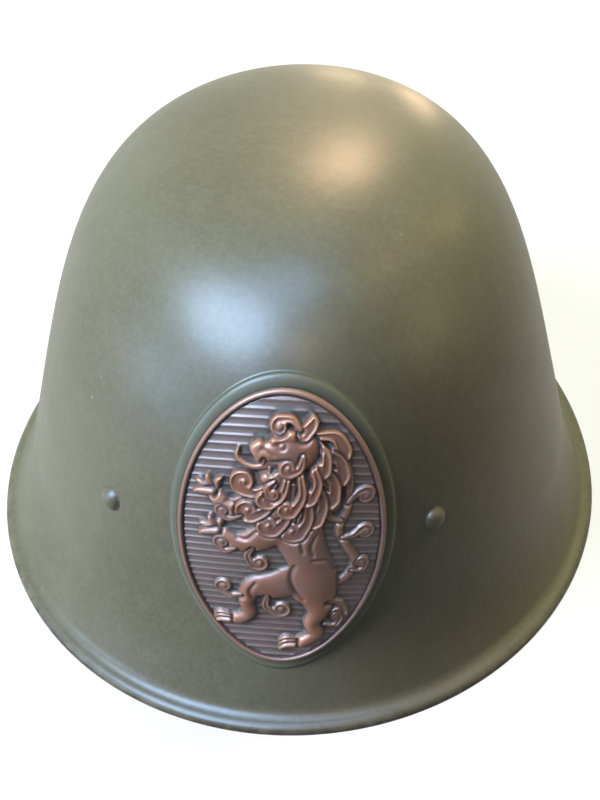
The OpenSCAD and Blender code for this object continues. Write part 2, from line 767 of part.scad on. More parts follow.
module strap_rivet_long() { color([0.55, 0.5, 0.38]) at_bar(-ear_facet) end_rivet(); }
module strap_rivet_short() { color([0.55, 0.5, 0.38]) at_bar(ear_facet) end_rivet(); }

slot_reach = 6;
slot_width = 3.8;

module strap_short() {
    color([0.38, 0.25, 0.16])
    at_bar(ear_facet) difference() {
        upright(strap_width) polygon(strip(short_path, strap_thickness));
        loop_end_bores();
        translate([short_run, strap_width, buckle_z]) rotate([90, 0, 0])
            cylinder(h = 2 * strap_width, d = buckle_wire_d + 2 * play);
        translate([short_run - slot_reach, -slot_width / 2, -1]) cube([2 * slot_reach, slot_width, 12]);
        translate([short_run - slot_reach, 0, -1]) cylinder(h = 12, d = slot_width);
        translate([short_run - buckle_rivet_reach, 0, -1])
            cylinder(h = 8, d = small_shank_d + 2 * rivet_play);
    }
}

module buckle_rivet() {
    color([0.55, 0.5, 0.38])
    at_bar(ear_facet)
        translate([short_run - buckle_rivet_reach, 0, lay_short - strap_thickness / 2 + strap_grip - seat])
        rivet(small_head_d, 1, small_shank_d, strap_grip, small_head_d, 0.9);
}

buckle_room = 2.6;
prong_d = 1.8;
prong_over = 2;

// The buckle hangs from the strap's end, turned down until its roller meets the floor
module at_buckle() {
    at_bar(ear_facet) translate([short_run, 0, buckle_z])
        rotate([0, asin((buckle_z - roller_d / 2 - 0.02) / buckle_length), 0]) children();
}

module buckle_frame() {
    color([0.5, 0.45, 0.3])
    at_buckle() wire_loop(strap_width / 2 + buckle_room, buckle_length, buckle_wire_d, wire_bend);
}

module buckle_roller() {
    long = strap_width - 0.6;
    color([0.5, 0.45, 0.3])
    at_buckle() translate([buckle_length, long / 2, 0]) rotate([90, 0, 0])
        washer(roller_d, buckle_wire_d + 2 * play, long);
}

module buckle_prong() {
    eye_d = buckle_wire_d + 2 * play + prong_d;
    tilt = asin((roller_d / 2 + prong_d / 2 + 0.1) / buckle_length);
    color([0.5, 0.45, 0.3])
    at_buckle() difference() {
        union() {
            translate([0, 1.5, 0]) rotate([90, 0, 0]) cylinder(h = 3, d = eye_d);
            rotate([0, 90 - tilt, 0]) translate([0, 0, eye_d / 2 - 0.5]) {
                cylinder(h = buckle_length + prong_over - eye_d / 2, d = prong_d);
                translate([0, 0, buckle_length + prong_over - eye_d / 2]) sphere(d = prong_d);
            }
        }
        translate([0, 3, 0]) rotate([90, 0, 0]) cylinder(h = 6, d = buckle_wire_d + 2 * play);
    }
}

keeper_wall = 0.8;
keeper_room = 0.8;
keeper_reach = 28.5;

module strap_keeper() {
    wall = keeper_wall;
    half = strap_width / 2 + keeper_room / 2;
    room = 2 * strap_thickness + keeper_room;
    color([0.5, 0.45, 0.3])
    at_bar(ear_facet) translate([short_run - keeper_reach, 0, 0.1]) difference() {
        translate([0, -half - wall, 0]) cube([keeper_length, 2 * (half + wall), room + 2 * wall]);
        translate([-1, -half, wall]) cube([keeper_length + 2, 2 * half, room]);
    }
}

shell();
badge_seat();
front_badge();
badge_washers();
liner_rivet_right();
liner_rivet_left();
liner_rivet_rear();
spacer_washers();
burr_washers();
liner_tab_right();
liner_tab_left();
liner_tab_rear();
liner_hoop();
tab_rivets();
felt_band();
tongue_leather();
sweatband();
sweatband_rivets();
strap_hanger_right();
strap_hanger_left();
hanger_rivets();
strap_loop_right();
strap_loop_left();
strap_long();
strap_rivet_long();
strap_short();
strap_rivet_short();
buckle_rivet();
buckle_frame();
buckle_prong();
buckle_roller();
strap_keeper();
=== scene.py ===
import math
import bpy
import numpy as np
from mathutils import Matrix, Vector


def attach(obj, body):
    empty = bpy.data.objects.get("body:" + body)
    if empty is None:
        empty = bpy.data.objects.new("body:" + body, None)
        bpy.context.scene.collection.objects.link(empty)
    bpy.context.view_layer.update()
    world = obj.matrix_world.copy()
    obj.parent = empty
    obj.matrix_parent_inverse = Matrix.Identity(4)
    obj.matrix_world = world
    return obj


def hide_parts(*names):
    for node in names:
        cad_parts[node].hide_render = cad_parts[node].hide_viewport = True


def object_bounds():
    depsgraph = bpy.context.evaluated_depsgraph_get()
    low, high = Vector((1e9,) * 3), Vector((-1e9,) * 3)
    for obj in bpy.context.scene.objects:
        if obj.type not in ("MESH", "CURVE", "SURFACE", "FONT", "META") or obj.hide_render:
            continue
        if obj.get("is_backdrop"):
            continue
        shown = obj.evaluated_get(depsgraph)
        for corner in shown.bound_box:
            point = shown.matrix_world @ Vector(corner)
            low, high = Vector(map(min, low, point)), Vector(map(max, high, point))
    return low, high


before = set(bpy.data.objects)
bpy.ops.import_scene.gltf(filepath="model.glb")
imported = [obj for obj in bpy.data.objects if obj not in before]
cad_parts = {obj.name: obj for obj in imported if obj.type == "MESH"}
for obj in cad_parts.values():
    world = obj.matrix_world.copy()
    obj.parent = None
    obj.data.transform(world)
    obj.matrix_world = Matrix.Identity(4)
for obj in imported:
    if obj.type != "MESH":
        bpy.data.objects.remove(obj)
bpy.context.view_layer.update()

# Shell: one sheet of steel pressed into a bell-shaped crown, a flared skirt and a lip that curls out.
# It is sprayed olive, and the paint is worn satin, with pale specks and a rubbed edge.
# Sizes in this file are millimetres until a mesh is made.
MM = 0.001
CROWN, SHELL_WALL = 156, 1.3
RIM_SIDE, RIM_FRONT, RIM_REAR = 122.5, 136, 147
EAR_Y = (RIM_FRONT - RIM_REAR) / 2
LIP, BROW = 8, 3


def lean(degrees):
    """A direction in a guide's plane: 0 is straight down and 90 straight out."""
    return np.array([math.sin(math.radians(degrees)), -math.cos(math.radians(degrees))])


def guide(skull, skull_z, skull_lean, crown_pull, side_pull, rim, flare):
    """Four cubic curves in one upright plane: crown, skirt, turned-out lip and rolled edge."""
    waist, outward = np.array([skull, skull_z]), lean(78)
    lip, bead = np.array([rim - LIP, LIP]), np.array([rim - BROW, BROW])
    skirt_pull = 0.38 * np.linalg.norm(lip - waist)
    lip_pull = 0.4 * np.linalg.norm(bead - lip)
    edge_pull = 0.57 * BROW
    rise = side_pull * (CROWN - skull_z) / math.cos(math.radians(skull_lean))
    return np.array([
        [[0, CROWN], [crown_pull * skull, CROWN], waist - lean(skull_lean) * rise, waist],
        [waist, waist + lean(skull_lean) * skirt_pull, lip - lean(flare) * skirt_pull, lip],
        [lip, lip + lean(flare) * lip_pull, bead - outward * lip_pull, bead],
        [bead, bead + outward * edge_pull, [rim, edge_pull], [rim, 0]]])


SIDE = guide(104.5, 37, 16.5, 0.72, 0.73, RIM_SIDE, 34)
FRONT = guide(115, 50, 5, 0.65, 0.76, RIM_FRONT, 28)
REAR = guide(118.5, 50, 8, 0.65, 0.76, RIM_REAR, 34)


def guide_point(curves, station, lift):
    """The guide at a station from 0, the crown, to 4, the edge, moved out by lift: B(t) + lift n(t)."""
    i = np.clip(np.floor(station).astype(int), 0, 3)
    t, p = (station - i)[..., None], curves[i]
    at = ((1 - t)**3 * p[..., 0, :] + 3 * (1 - t)**2 * t * p[..., 1, :]
          + 3 * (1 - t) * t**2 * p[..., 2, :] + t**3 * p[..., 3, :])
    to = ((1 - t)**2 * (p[..., 1, :] - p[..., 0, :]) + 2 * (1 - t) * t * (p[..., 2, :] - p[..., 1, :])
          + t**2 * (p[..., 3, :] - p[..., 2, :]))
    out = np.stack([-to[..., 1], to[..., 0]], -1)
    return at + np.asarray(lift)[..., None] * out / np.linalg.norm(out, axis=-1, keepdims=True)


def shell_point(azimuth, station, lift=0.0):
    """The side guide by the sine, the front or rear guide by the cosine, and heights by their squares."""
    azimuth, station, lift = np.broadcast_arrays(azimuth, station, lift)
    side = guide_point(SIDE, station, lift)
    end = np.where((np.cos(azimuth) > 0)[..., None],
                   guide_point(FRONT, station, lift), guide_point(REAR, station, lift))
    s, c = np.sin(azimuth), np.cos(azimuth)
    height = side[..., 1] * s**2 + end[..., 1] * c**2
    return np.stack([side[..., 0] * s, EAR_Y - end[..., 0] * c, height], -1)


def mesh_piece(name, points, quads, triangles, body, **attributes):
    """A smooth-shaded mesh on a body. Its faces are turned round if they enclose a negative volume."""
    points = np.asarray(points, float).reshape(-1, 3)
    quads, triangles = np.asarray(quads).reshape(-1, 4), np.asarray(triangles).reshape(-1, 3)
    a, b, c = points[np.concatenate([quads[:, [0, 1, 2]], quads[:, [0, 2, 3]], triangles]).T.astype(int)]
    if np.einsum("ij,ij->", a, np.cross(b, c)) < 0:
        quads, triangles = quads[:, ::-1], triangles[:, ::-1]
    mesh = bpy.data.meshes.new(name)
    faces = quads.astype(int).tolist() + triangles.astype(int).tolist()
    mesh.from_pydata((points * MM).tolist(), [], faces)
    mesh.polygons.foreach_set("use_smooth", np.ones(len(mesh.polygons), bool))
    for key, values in attributes.items():
        layer = mesh.attributes.new(key, "FLOAT", "POINT")
        layer.data.foreach_set("value", np.asarray(values, np.float32).ravel())
    piece = bpy.data.objects.new(name, mesh)
    bpy.context.scene.collection.objects.link(piece)
    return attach(piece, body)


def grid_quads(rows, columns, round_rows=False, round_columns=True):
    """Corner numbers of the cells of a grid of points, joined round its rows or columns where asked."""
    r, c = np.meshgrid(np.arange(rows if round_rows else rows - 1),
                       np.arange(columns if round_columns else columns - 1), indexing="ij")
    low, right = (r + 1) % rows, (c + 1) % columns
    return np.stack([r * columns + c, low * columns + c, low * columns + right, r * columns + right], -1)


def skin(name, grid, body, closed=False, **attributes):
    """A surface over rings of points, grid[ring, place]. Its ends join if closed, or else get a fan each."""
    rows, columns = grid.shape[:2]
    points, fans = grid.reshape(-1, 3), []
    if not closed:
        points = np.concatenate([points, grid[[0, -1]].mean(1)])
        first, tip = np.arange(columns), np.full(columns, rows * columns)
        after, last = (first + 1) % columns, (rows - 1) * columns
        fans = np.concatenate([
            np.stack([tip, first, after], -1), np.stack([tip + 1, last + after, last + first], -1)])
        attributes = {k: np.concatenate([v.ravel(), v[[0, -1]].mean(1)]) for k, v in attributes.items()}
    return mesh_piece(name, points, grid_quads(rows, columns, closed), fans, body, **attributes)


def colour(code):
    """Linear colour of an sRGB hex code."""
    srgb = np.array([int(code[i:i + 2], 16) for i in (1, 3, 5)]) / 255
    return (*np.where(srgb <= 0.04045, srgb / 12.92, ((srgb + 0.055) / 1.055)**2.4).tolist(), 1.0)


def feed(tree, node, sockets):
    """Sets a node's sockets to numbers or colours, or links them to outputs or to nodes' first outputs."""
    for key, value in sockets.items():
        value = value.outputs[0] if isinstance(value, bpy.types.Node) else value
        if isinstance(value, bpy.types.NodeSocket):
            tree.links.new(value, node.inputs[key])
        else:
            node.inputs[key].default_value = value


def add(tree, kind, sockets=None, **settings):
    """Adds a shader node, with its settings as properties, and feeds its sockets."""
    made = tree.nodes.new("ShaderNode" + kind)
    for key, value in settings.items():
        setattr(made, key, value)
    feed(tree, made, sockets or {})
    return made


def finish(name):
    """A new material, its node tree, its shader and the surface's own coordinates."""
    made = bpy.data.materials.new(name)
    made.use_nodes = True
    tree = made.node_tree
    return made, tree, tree.nodes["Principled BSDF"], add(tree, "TexCoord").outputs["Object"]


def spots(tree, place, size, low, high, detail=2.0):
    """Cloudy spots of a size in millimetres: noise spread from 0 at low to 1 at high."""
    noise = add(tree, "TexNoise", {"Vector": place, "Scale": 1000 / size, "Detail": detail})
    return add(tree, "MapRange", {"Value": noise, "From Min": low, "From Max": high})


def coat(tree, tone, code, *amounts):
    """A tone with a second colour laid over it, as far as the product of the amounts, each from 0 to 1."""
    amount = amounts[0]
    for more in amounts[1:]:
        amount = add(tree, "Math", {0: amount, 1: more}, operation="MULTIPLY", use_clamp=True)
    tone = colour(tone) if isinstance(tone, str) else tone
    return add(tree, "Mix", {0: amount, 6: tone, 7: colour(code)}, data_type="RGBA").outputs[2]


def bumps(tree, place, size, strength, deep, **more):
    """Grain of a size in millimetres and a depth in metres, as a bump."""
    noise = add(tree, "TexNoise", {"Vector": place, "Scale": 1000 / size, **more})
    return add(tree, "Bump", {"Height": noise, "Strength": strength, "Distance": deep})


# Sprayed paint, dried satin: a lamp shows in it as a wide soft spot, which the orange peel breaks up a
# little. Handling has lightened it in grains, a few streaks and dots, and the edge is rubbed down to brown.
# The grains of 1.8 mm are coarser than real ones, to show at all from here.
olive_paint, tree, shader, place = finish("worn_olive_paint")
inside, grime, thick = (add(tree, "Attribute", attribute_name=key).outputs["Fac"]
                        for key in ("inside", "grime", "thick"))
along = add(tree, "Mapping", {"Vector": place, "Rotation": (0.3, 0.5, 0.9), "Scale": (1, 0.03, 1)})
DOT_PITCH, RUBBED_TO, RUBBED_FROM = 13, 3.2, 0.6
dots = add(tree, "TexVoronoi", {"Vector": place, "Scale": 1000 / DOT_PITCH})
dots = add(tree, "MapRange", {"Value": dots, "From Min": 0.05, "From Max": 0.03})
height = add(tree, "SeparateXYZ", {0: place}).outputs["Z"]
edge = add(tree, "MapRange", {"Value": height, "From Min": RUBBED_TO * MM, "From Max": RUBBED_FROM * MM})
tone = coat(tree, "#57563f", "#605f48", spots(tree, place, 55, 0.35, 0.65))
tone = coat(tree, tone, "#686953", spots(tree, place, 7, 0.45, 0.75, 4), 0.3)
tone = coat(tree, tone, "#757660", spots(tree, place, 1.8, 0.4, 0.7, 3), 0.22)
streaks = spots(tree, along, 0.5, 0.74, 0.79, 0)
tone = coat(tree, tone, "#91927b", streaks, spots(tree, place, 22, 0.5, 0.62), 0.12)
tone = coat(tree, tone, "#8f8d74", dots, spots(tree, place, 30, 0.5, 0.62))
tone = coat(tree, tone, "#3d3327", edge, spots(tree, place, 5, 0.4, 0.62, 4))
tone = coat(tree, tone, "#64705f", thick, 0.4)
# Painted shade: the corners at the foot of the rivets' paint fillets and round the badge seat are darkened
# almost to black.
tone = coat(tree, tone, "#33301f", grime, 0.85)
tone = coat(tree, tone, "#3f4030", inside, 0.5)
peel = bumps(tree, place, 1.1, 0.3, 0.0001, Detail=2.0)
rough = add(tree, "MapRange", {"Value": spots(tree, place, 12, 0.3, 0.7, 3), "To Min": 0.43, "To Max": 0.49})
feed(tree, shader, {"Base Color": tone, "Roughness": rough, "Normal": peel, "Specular IOR Level": 0.15,
                    "Coat Weight": 0.2, "Coat Roughness": 0.3, "Coat Normal": peel})

COLUMNS_ROUND, RINGS = 288, 110


def circle(count):
    """Angles all round in equal steps, from 0."""
    return np.arange(count) * 2 * math.pi / count


turn = circle(COLUMNS_ROUND)
outside = np.concatenate([np.linspace(0.01, 1, RINGS), np.linspace(1, 4, RINGS)[1:]])
rings = np.concatenate([
    shell_point(turn, outside[:, None]), shell_point(turn, outside[::-2, None], -SHELL_WALL)])
inner = np.repeat(np.arange(len(rings)) >= len(outside), len(turn)).reshape(len(rings), -1)
shell = skin("shell_sheet", rings, "helmet", inside=inner.astype(float), grime=inner * 0.0)
shell.data.materials.append(olive_paint)
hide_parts("shell")

# Badge seat: a flat oval of thin sheet under the badge, painted over together with the shell,
# so its edge is soft and a fillet of paint fills the corner where it meets the shell.
BADGE_X, BADGE_Z = 5, 71
BADGE_WIDTH, BADGE_HEIGHT = 31.4, 48.1
SEAT_MARGIN, SEAT_TOP = 3.4, 1.05


def halved(low, high, test):
    """The value between low and high up to which a test holds, found by halving the span twenty times."""
    for _ in range(20):
        middle = (low + high) / 2
        holds = test(middle)
        low, high = np.where(holds, middle, low), np.where(holds, high, middle)
    return middle


def shell_normal(azimuth, station):
    """The shell's outward direction: the cross product of a step down and a step across."""
    across = shell_point(azimuth + 0.01, station) - shell_point(azimuth - 0.01, station)
    down = shell_point(azimuth, station + 0.01) - shell_point(azimuth, station - 0.01)
    normal = np.cross(down, across)
    return normal / np.linalg.norm(normal, axis=-1, keepdims=True)


def front_point(x, z, lift=0.0):
    """The shell's front at a sideways place and height, moved out by lift along the normal. The azimuth at a
    station is arcsin(x / reach), with the side guide's reach, and the station is the one with height z."""
    x, z, lift = np.broadcast_arrays(x, z, lift)

    def azimuth_at(station):
        return np.arcsin(np.clip(x / guide_point(SIDE, station, 0.0)[..., 0], -1, 1))

    def above(station):
        return shell_point(azimuth_at(station), station)[..., 2] > z

    station = halved(np.full(z.shape, 0.3), np.full(z.shape, 3.0), above)
    azimuth = azimuth_at(station)
    return shell_point(azimuth, station) + lift[..., None] * shell_normal(azimuth, station)


def badge_rings(offsets, lifts, angles):
    """Ovals round the badge's centre: half width and half height plus an offset, lifted off the shell."""
    offsets, lifts = np.asarray(offsets)[:, None], np.asarray(lifts)[:, None]
    return front_point(BADGE_X + (BADGE_WIDTH + offsets) * np.sin(angles),
                       BADGE_Z + (BADGE_HEIGHT + offsets) * np.cos(angles), lifts)


angles = circle(360)
seat_edge = np.array([
    [-4, 1.0], [-1, 1.04], [0.2, 1.0], [0.6, 1.05], [SEAT_MARGIN - 1.3, SEAT_TOP],
    [SEAT_MARGIN - 0.7, 1.0], [SEAT_MARGIN - 0.3, 0.85], [SEAT_MARGIN, 0.55], [SEAT_MARGIN + 0.15, 0.25],
    [SEAT_MARGIN + 0.4, 0.06], [SEAT_MARGIN + 0.8, -0.02], [SEAT_MARGIN + 1.3, -0.06],
    [SEAT_MARGIN + 1.3, -0.6], [-4, -0.6]])
# Painted shade darkens two corners: under and at the badge's edge, and at the foot of the paint fillet.
grime_ends = [-0.5, 0.2, 0.9, SEAT_MARGIN - 0.2, SEAT_MARGIN + 0.2, SEAT_MARGIN + 0.6]
seat_grime = np.interp(seat_edge[:, 0], grime_ends, [1, 1, 0, 0, 1, 0])
seat = skin("badge_seat_ring", badge_rings(*seat_edge.T, angles), "helmet", closed=True,
            grime=np.repeat(seat_grime[:, None], len(angles), 1),
            thick=np.ones((len(seat_edge), len(angles))))
seat.data.materials.append(olive_paint)
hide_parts("badge_seat")

# Badge: one bronze stamping, bent to the shell. A narrow rim stands round a sunk ground of fine ribs,
# and on the ground is a plain lion of old heraldry, worn bright on its high places and dark in the hollows.
RIM_WIDTH = 1.9
FIELD_WIDTH, FIELD_HEIGHT = BADGE_WIDTH - RIM_WIDTH, BADGE_HEIGHT - RIM_WIDTH
FIELD_LIFT, BADGE_FOOT = 2.0, 1.1
COLUMNS, ROWS = 241, 341
s, t = np.meshgrid(np.linspace(-1, 1, COLUMNS), np.linspace(-1, 1, ROWS))
across, up = FIELD_WIDTH * s * np.sqrt(1 - t**2 / 2), FIELD_HEIGHT * t * np.sqrt(1 - s**2 / 2)
relief = np.zeros(across.shape)


def line(points, count=8):
    """A smooth line through points: a Catmull-Rom spline, with the half widths carried along."""
    p = np.asarray(points, float)
    p = np.concatenate([[2 * p[0] - p[1]], p, [2 * p[-1] - p[-2]]])
    t = np.linspace(0, 1, count, endpoint=False)[:, None]
    runs = [0.5 * (2 * b + (c - a) * t + (2 * a - 5 * b + 4 * c - d) * t**2
                   + (3 * b - a - 3 * c + d) * t**3)
            for a, b, c, d in zip(p, p[1:], p[2:], p[3:])]
    return np.concatenate(runs + [p[-2:-1]])


def ridge(points, top, ground=0.0, groove=0.25, flat=0.5, dish=0.0, melt=False):
    """A ridge along a line of [across, up, half width]: ground + top (1 - q^2)^flat, where q is the distance
    from the line over the half width. A dish sinks its middle and leaves a lip, a bell curve 0.5 inside the
    edge. The carving round it is first cut down to the ground, to set it off. A melted ridge has no such
    cut, and flows into what is there: max(a, b) + (0.9 - |a - b|)^2 / 3.6. A negative one is a groove."""
    path = line(points)
    lo, hi = (path[:, :2] - path[:, 2:]).min(0) - 1.5, (path[:, :2] + path[:, 2:]).max(0) + 1.5
    near = (across > lo[0]) & (across < hi[0]) & (up > lo[1]) & (up < hi[1])
    at = np.stack([across[near], up[near]], -1)[:, None]
    a, b = path[:-1], path[1:]
    to = b[:, :2] - a[:, :2]
    k = np.clip(((at - a[:, :2]) * to).sum(-1) / np.maximum((to**2).sum(-1), 1e-9), 0, 1)
    apart = np.linalg.norm(at - a[:, :2] - k[..., None] * to, axis=-1)
    radius = np.maximum(a[:, 2] + k * (b[:, 2] - a[:, 2]), 0.05)
    best = (apart / radius).argmin(1)
    rows = np.arange(len(at))
    apart, radius = apart[rows, best], radius[rows, best]
    q = apart / radius
    here = relief[near]
    if top < 0:
        relief[near] = here + top * np.exp(-3 * q**2)
        return
    fade = np.clip((apart - radius) / 0.5, 0, 1)
    low = ground - groove
    here = np.where(here > low, low + (here - low) * fade, here)
    inside = 1 - np.clip(q, 0, 1)**2
    if dish:
        lip = np.exp(-((radius - apart - 0.5) / 0.36)**2)
        profile = (1 - dish) * inside**0.25 + dish * lip
    else:
        profile = inside**flat
    made = np.where(q < 1, ground + top * profile, -9)
    if melt:
        here = relief[near]
        relief[near] = np.maximum(here, made) + np.clip(0.9 - np.abs(here - made), 0, None)**2 / 3.6
    else:
        relief[near] = np.maximum(here, made)


def curl(points, width, top, ground=0.0, turns=1.3, size=3.0, side=1, dish=0.5):
    """A lock of hair: it runs along points, swells, and rolls up at its end in a spiral to one side,
    whose radius shrinks in even steps of a tenth of a turn."""
    p = np.array(points, float)
    way = (p[-1] - p[-2]) / np.linalg.norm(p[-1] - p[-2])
    centre = p[-1] + np.array([-way[1], way[0]]) * side * size
    heading = math.atan2(*(p[-1] - centre)[::-1])
    steps = np.arange(1, int(10 * turns) + 1)
    reach = size * (1 - steps / (10 * turns + 3))
    angle = heading + side * steps * math.pi / 5
    path = np.concatenate([p, centre + np.stack([np.cos(angle), np.sin(angle)], -1) * reach[:, None]])
    swell = np.concatenate([np.linspace(0.55, 1, len(p)), np.linspace(1, 0.5, len(path) - len(p))])
    ridge(np.column_stack([path, swell * width]), top, ground, dish=dish)


# Ribs of the ground, bowed a little as the badge is bent
RIB_PITCH, RIB_HEIGHT, RIB_SHARE, RIB_BOW = 2.45, 0.62, 0.14, 0.0049
level = up + RIB_BOW * (across + BADGE_X)**2
relief += RIB_HEIGHT * np.clip(1 - np.abs((level / RIB_PITCH) % 1 - 0.5) / RIB_SHARE, 0, 1)

# Tail, behind the body: a long S with scrolled tufts
ridge([[12, -15, 1.7], [19, -14.5, 1.6], [22.5, -8, 1.5], [19.5, -1, 1.4], [17.2, 5, 1.4],
       [19.5, 12, 1.4], [19.5, 19, 1.3]], 1.3)
curl([(19.5, 15), (19.8, 20), (18.4, 25)], 1.7, 1.5, 0.1, size=2.5, side=1)
curl([(19.6, 14), (22.2, 16.5), (24.2, 17.0)], 1.5, 1.3, 0.1, size=1.9, side=-1)
curl([(18, 8), (14.6, 9.6), (13.6, 13)], 1.3, 1.3, 0.0, size=1.8, side=-1)
curl([(18.2, 2), (21.5, 2.2), (24, 4)], 1.4, 1.3, 0.0, size=1.9, side=-1)
curl([(21.5, -11.5), (24.5, -12.0), (25.6, -9.5)], 1.2, 1.2, 0.0, size=1.5, side=1)

# Body and legs flow together: chest, loins and haunch, the raised hind leg, the standing one, two forelegs
ridge([[0.5, 20, 8.6], [2.5, 13, 9.4], [5.5, 4, 7.4], [8.5, -5, 6.4], [10, -13, 7.4], [9.6, -18, 6.4]],
      2.4, 0.3, flat=0.6)
ridge([[7, -12, 6.4], [-1, -15.6, 5.4], [-8, -16.8, 3.9], [-10.6, -22.5, 2.6], [-9.8, -28, 2.3],
       [-12.6, -31.0, 2.4], [-17, -31.8, 2.0]], 2.1, 0.2, melt=True)
ridge([[10.4, -14, 6.8], [11.5, -21, 5.4], [11.8, -27, 3.6], [9.6, -32, 2.6], [11.0, -36.4, 2.5],
       [7.4, -39.2, 2.4], [3.4, -40.2, 2.0]], 2.6, 0.25, melt=True)
ridge([[2, 9, 5.6], [-6, 3.0, 4.4], [-12.5, 1.0, 3.2], [-18.0, 3.8, 2.6]], 2.1, 0.3, melt=True)
ridge([[0, 18.5, 5.6], [-8.5, 14.8, 4.4], [-14.4, 13.4, 3.3], [-19.0, 17.0, 2.6]], 2.3, 0.4, melt=True)
for groove in (
        [[4.5, -6.5, 1], [3.2, -10.8, 1.3], [4.2, -16.0, 1.2], [7.2, -20.6, 0.9]],
        [[16.4, -10, 0.7], [13.8, -5.4, 1.1], [9.6, -4.4, 0.8]],
        [[-3.4, 8.6, 0.8], [-0.4, 4.6, 1.2], [3.2, 3.0, 0.8]],
        [[10.6, 4.6, 0.7], [9.0, 0.6, 1.0], [9.8, -2.6, 0.7]],
        [[7.6, 6.2, 0.6], [6.2, 2.6, 0.9], [6.8, -1.0, 0.6]],
        [[-7.4, -14.2, 0.8], [-9.2, -17.6, 1.0], [-8.4, -21, 0.7]],
        [[-6.8, 6.0, 0.6], [-9.6, 3.2, 0.9], [-12.6, 3.4, 0.6]],
        [[-9.4, 17.4, 0.6], [-12.2, 15.4, 0.9], [-15.4, 16.0, 0.6]]):
    ridge(groove, -0.75)
for x, z in ((3.6, -40.2), (-17.0, -31.8)):
    for k in range(3):
        ridge([[x + 0.8, z + 1.2 - k * 1.1, 1.1], [x - 2.1, z + 2.0 - k * 1.6, 1.0],
               [x - 4.0, z + 0.7 - k * 1.6, 0.35]], 1.5, 0.3)
for x, z, spread in ((-18.6, 4.2, 2.35), (-19.6, 17.6, 2.2)):
    for k in range(4):
        c, d = math.cos(spread - 1.05 + k * 0.7), math.sin(spread - 1.05 + k * 0.7)
        ridge([[x, z, 1.3], [x + 2.7 * c, z + 2.7 * d, 1.3], [x + 4.5 * c, z + 4.5 * d, 1.0],
               [x + 6.2 * c + 0.4, z + 6.2 * d - 0.6, 0.3]], 1.7, 0.4)

# Mane: long locks from the skull and jaw over neck, shoulder and chest, each rolled at its end
for points in (
        [(9, 36), (15, 35), (17.5, 31)], [(9.5, 33), (16, 28.5), (17.5, 24.0)],
        [(9.5, 29), (15, 22), (15.2, 17)], [(9, 25), (12.2, 16), (11, 10.4)], [(7, 23), (8.4, 12), (6, 6)],
        [(3.6, 22), (2.2, 12), (-1, 7.4)], [(0.5, 22), (-3.4, 14.5), (-7.6, 11.6)],
        [(-1.5, 22.4), (-6.6, 19.4), (-10.6, 20.2)]):
    curl(points, 2.15, 1.9, 1.2, size=2.5, side=-1)
for points in (
        [(8.4, 35), (12.4, 31), (12.6, 26.4)], [(8, 30), (10.6, 23), (9.2, 18)],
        [(5.6, 27), (6.4, 19), (3.8, 14)], [(2.6, 26), (0.8, 19.4), (-2.4, 16.6)]):
    curl(points, 1.8, 1.6, 2.2, size=1.9, side=-1)

# Head in profile: skull, blunt muzzle, open jaws with a tongue, brow, eye and ear
ridge([[5.2, 32.0, 5.9], [2.6, 32.8, 5.6]], 2.6, 1.2, flat=0.6)
ridge([[3.0, 27.0, 3.4], [-0.8, 25.0, 2.5], [-3.6, 24.4, 2.0]], 2.1, 1.2, melt=True)
ridge([[0.4, 28.6, 1.5], [-4.2, 27.6, 1.2], [-8.4, 27.4, 1.1], [-11.8, 29.4, 0.9], [-12.0, 32.0, 0.4]],
      1.2, 0.8)
ridge([[2.0, 32.2, 4.4], [-2.4, 32.0, 3.5], [-4.8, 31.6, 3.0]], 2.5, 1.4, melt=True)
ridge([[-5.6, 34.0, 1.5], [-7.0, 33.0, 1.5], [-6.8, 31.6, 1.0]], 1.5, 2.2, melt=True)
ridge([[4.4, 36.4, 1.4], [1.2, 36.8, 1.4], [-1.8, 35.4, 1.0]], 1.2, 2.9, melt=True)
ridge([[0.4, 33.9, 1.3], [0.8, 33.9, 1.3]], -0.9)
ridge([[0.4, 33.9, 0.75], [0.7, 33.9, 0.75]], 0.6, 3.3, 0)
ridge([[2.6, 29.8, 0.7], [-1.4, 29.6, 0.8], [-5.4, 29.2, 0.7]], -1.2)
ridge([[-1.6, 31.4, 0.5], [-3.6, 32.6, 0.7], [-5.2, 33.4, 0.5]], -0.5)
ridge([[-4.4, 29.9, 0.65], [-4.6, 28.4, 0.3]], 0.9, 1.6, 0)
ridge([[-2.6, 26.2, 0.6], [-2.9, 27.6, 0.3]], 0.9, 1.6, 0)
ridge([[6.6, 36.6, 2.2], [8.6, 39.0, 1.9], [8.8, 40.8, 0.8]], 1.7, 1.9, dish=0.5)
curl([(6.4, 30.8), (5.6, 27.4), (3.2, 26.2)], 1.6, 1.3, 2.7, size=1.7, side=-1)
curl([(5.4, 37.8), (3.2, 40.4), (0.0, 40.6)], 1.5, 1.5, 1.4, size=1.8, side=1)
curl([(-1.4, 23.6), (-3.4, 21.8), (-3.0, 19.4)], 1.2, 1.3, 2.0, size=1.3, side=1)

# Tufts at elbows, hocks and belly
curl([(-8, -0.6), (-9.6, -4), (-8.0, -7.2)], 1.6, 1.5, 0.1, size=2.1, side=1)
curl([(-13, -1.4), (-16.6, -3.2), (-18.6, -1.2)], 1.4, 1.3, 0.1, size=1.8, side=-1)
curl([(-11, 11), (-14.8, 9.2), (-17.4, 10.4)], 1.3, 1.3, 0.3, size=1.6, side=-1)
curl([(-4, -20), (-4.4, -25), (-1.4, -27.6)], 1.7, 1.5, 0.1, size=2.3, side=1)
curl([(14.4, -23), (18, -24.5), (19.4, -28)], 1.6, 1.5, 0.1, size=2.1, side=-1)
curl([(13.6, -33.6), (17, -34.2), (18.4, -31.6)], 1.2, 1.2, 0.0, size=1.5, side=1)
curl([(-12, -20.5), (-15.4, -21.5), (-18.4, -19.6)], 1.5, 1.4, 0.1, size=2.0, side=-1)


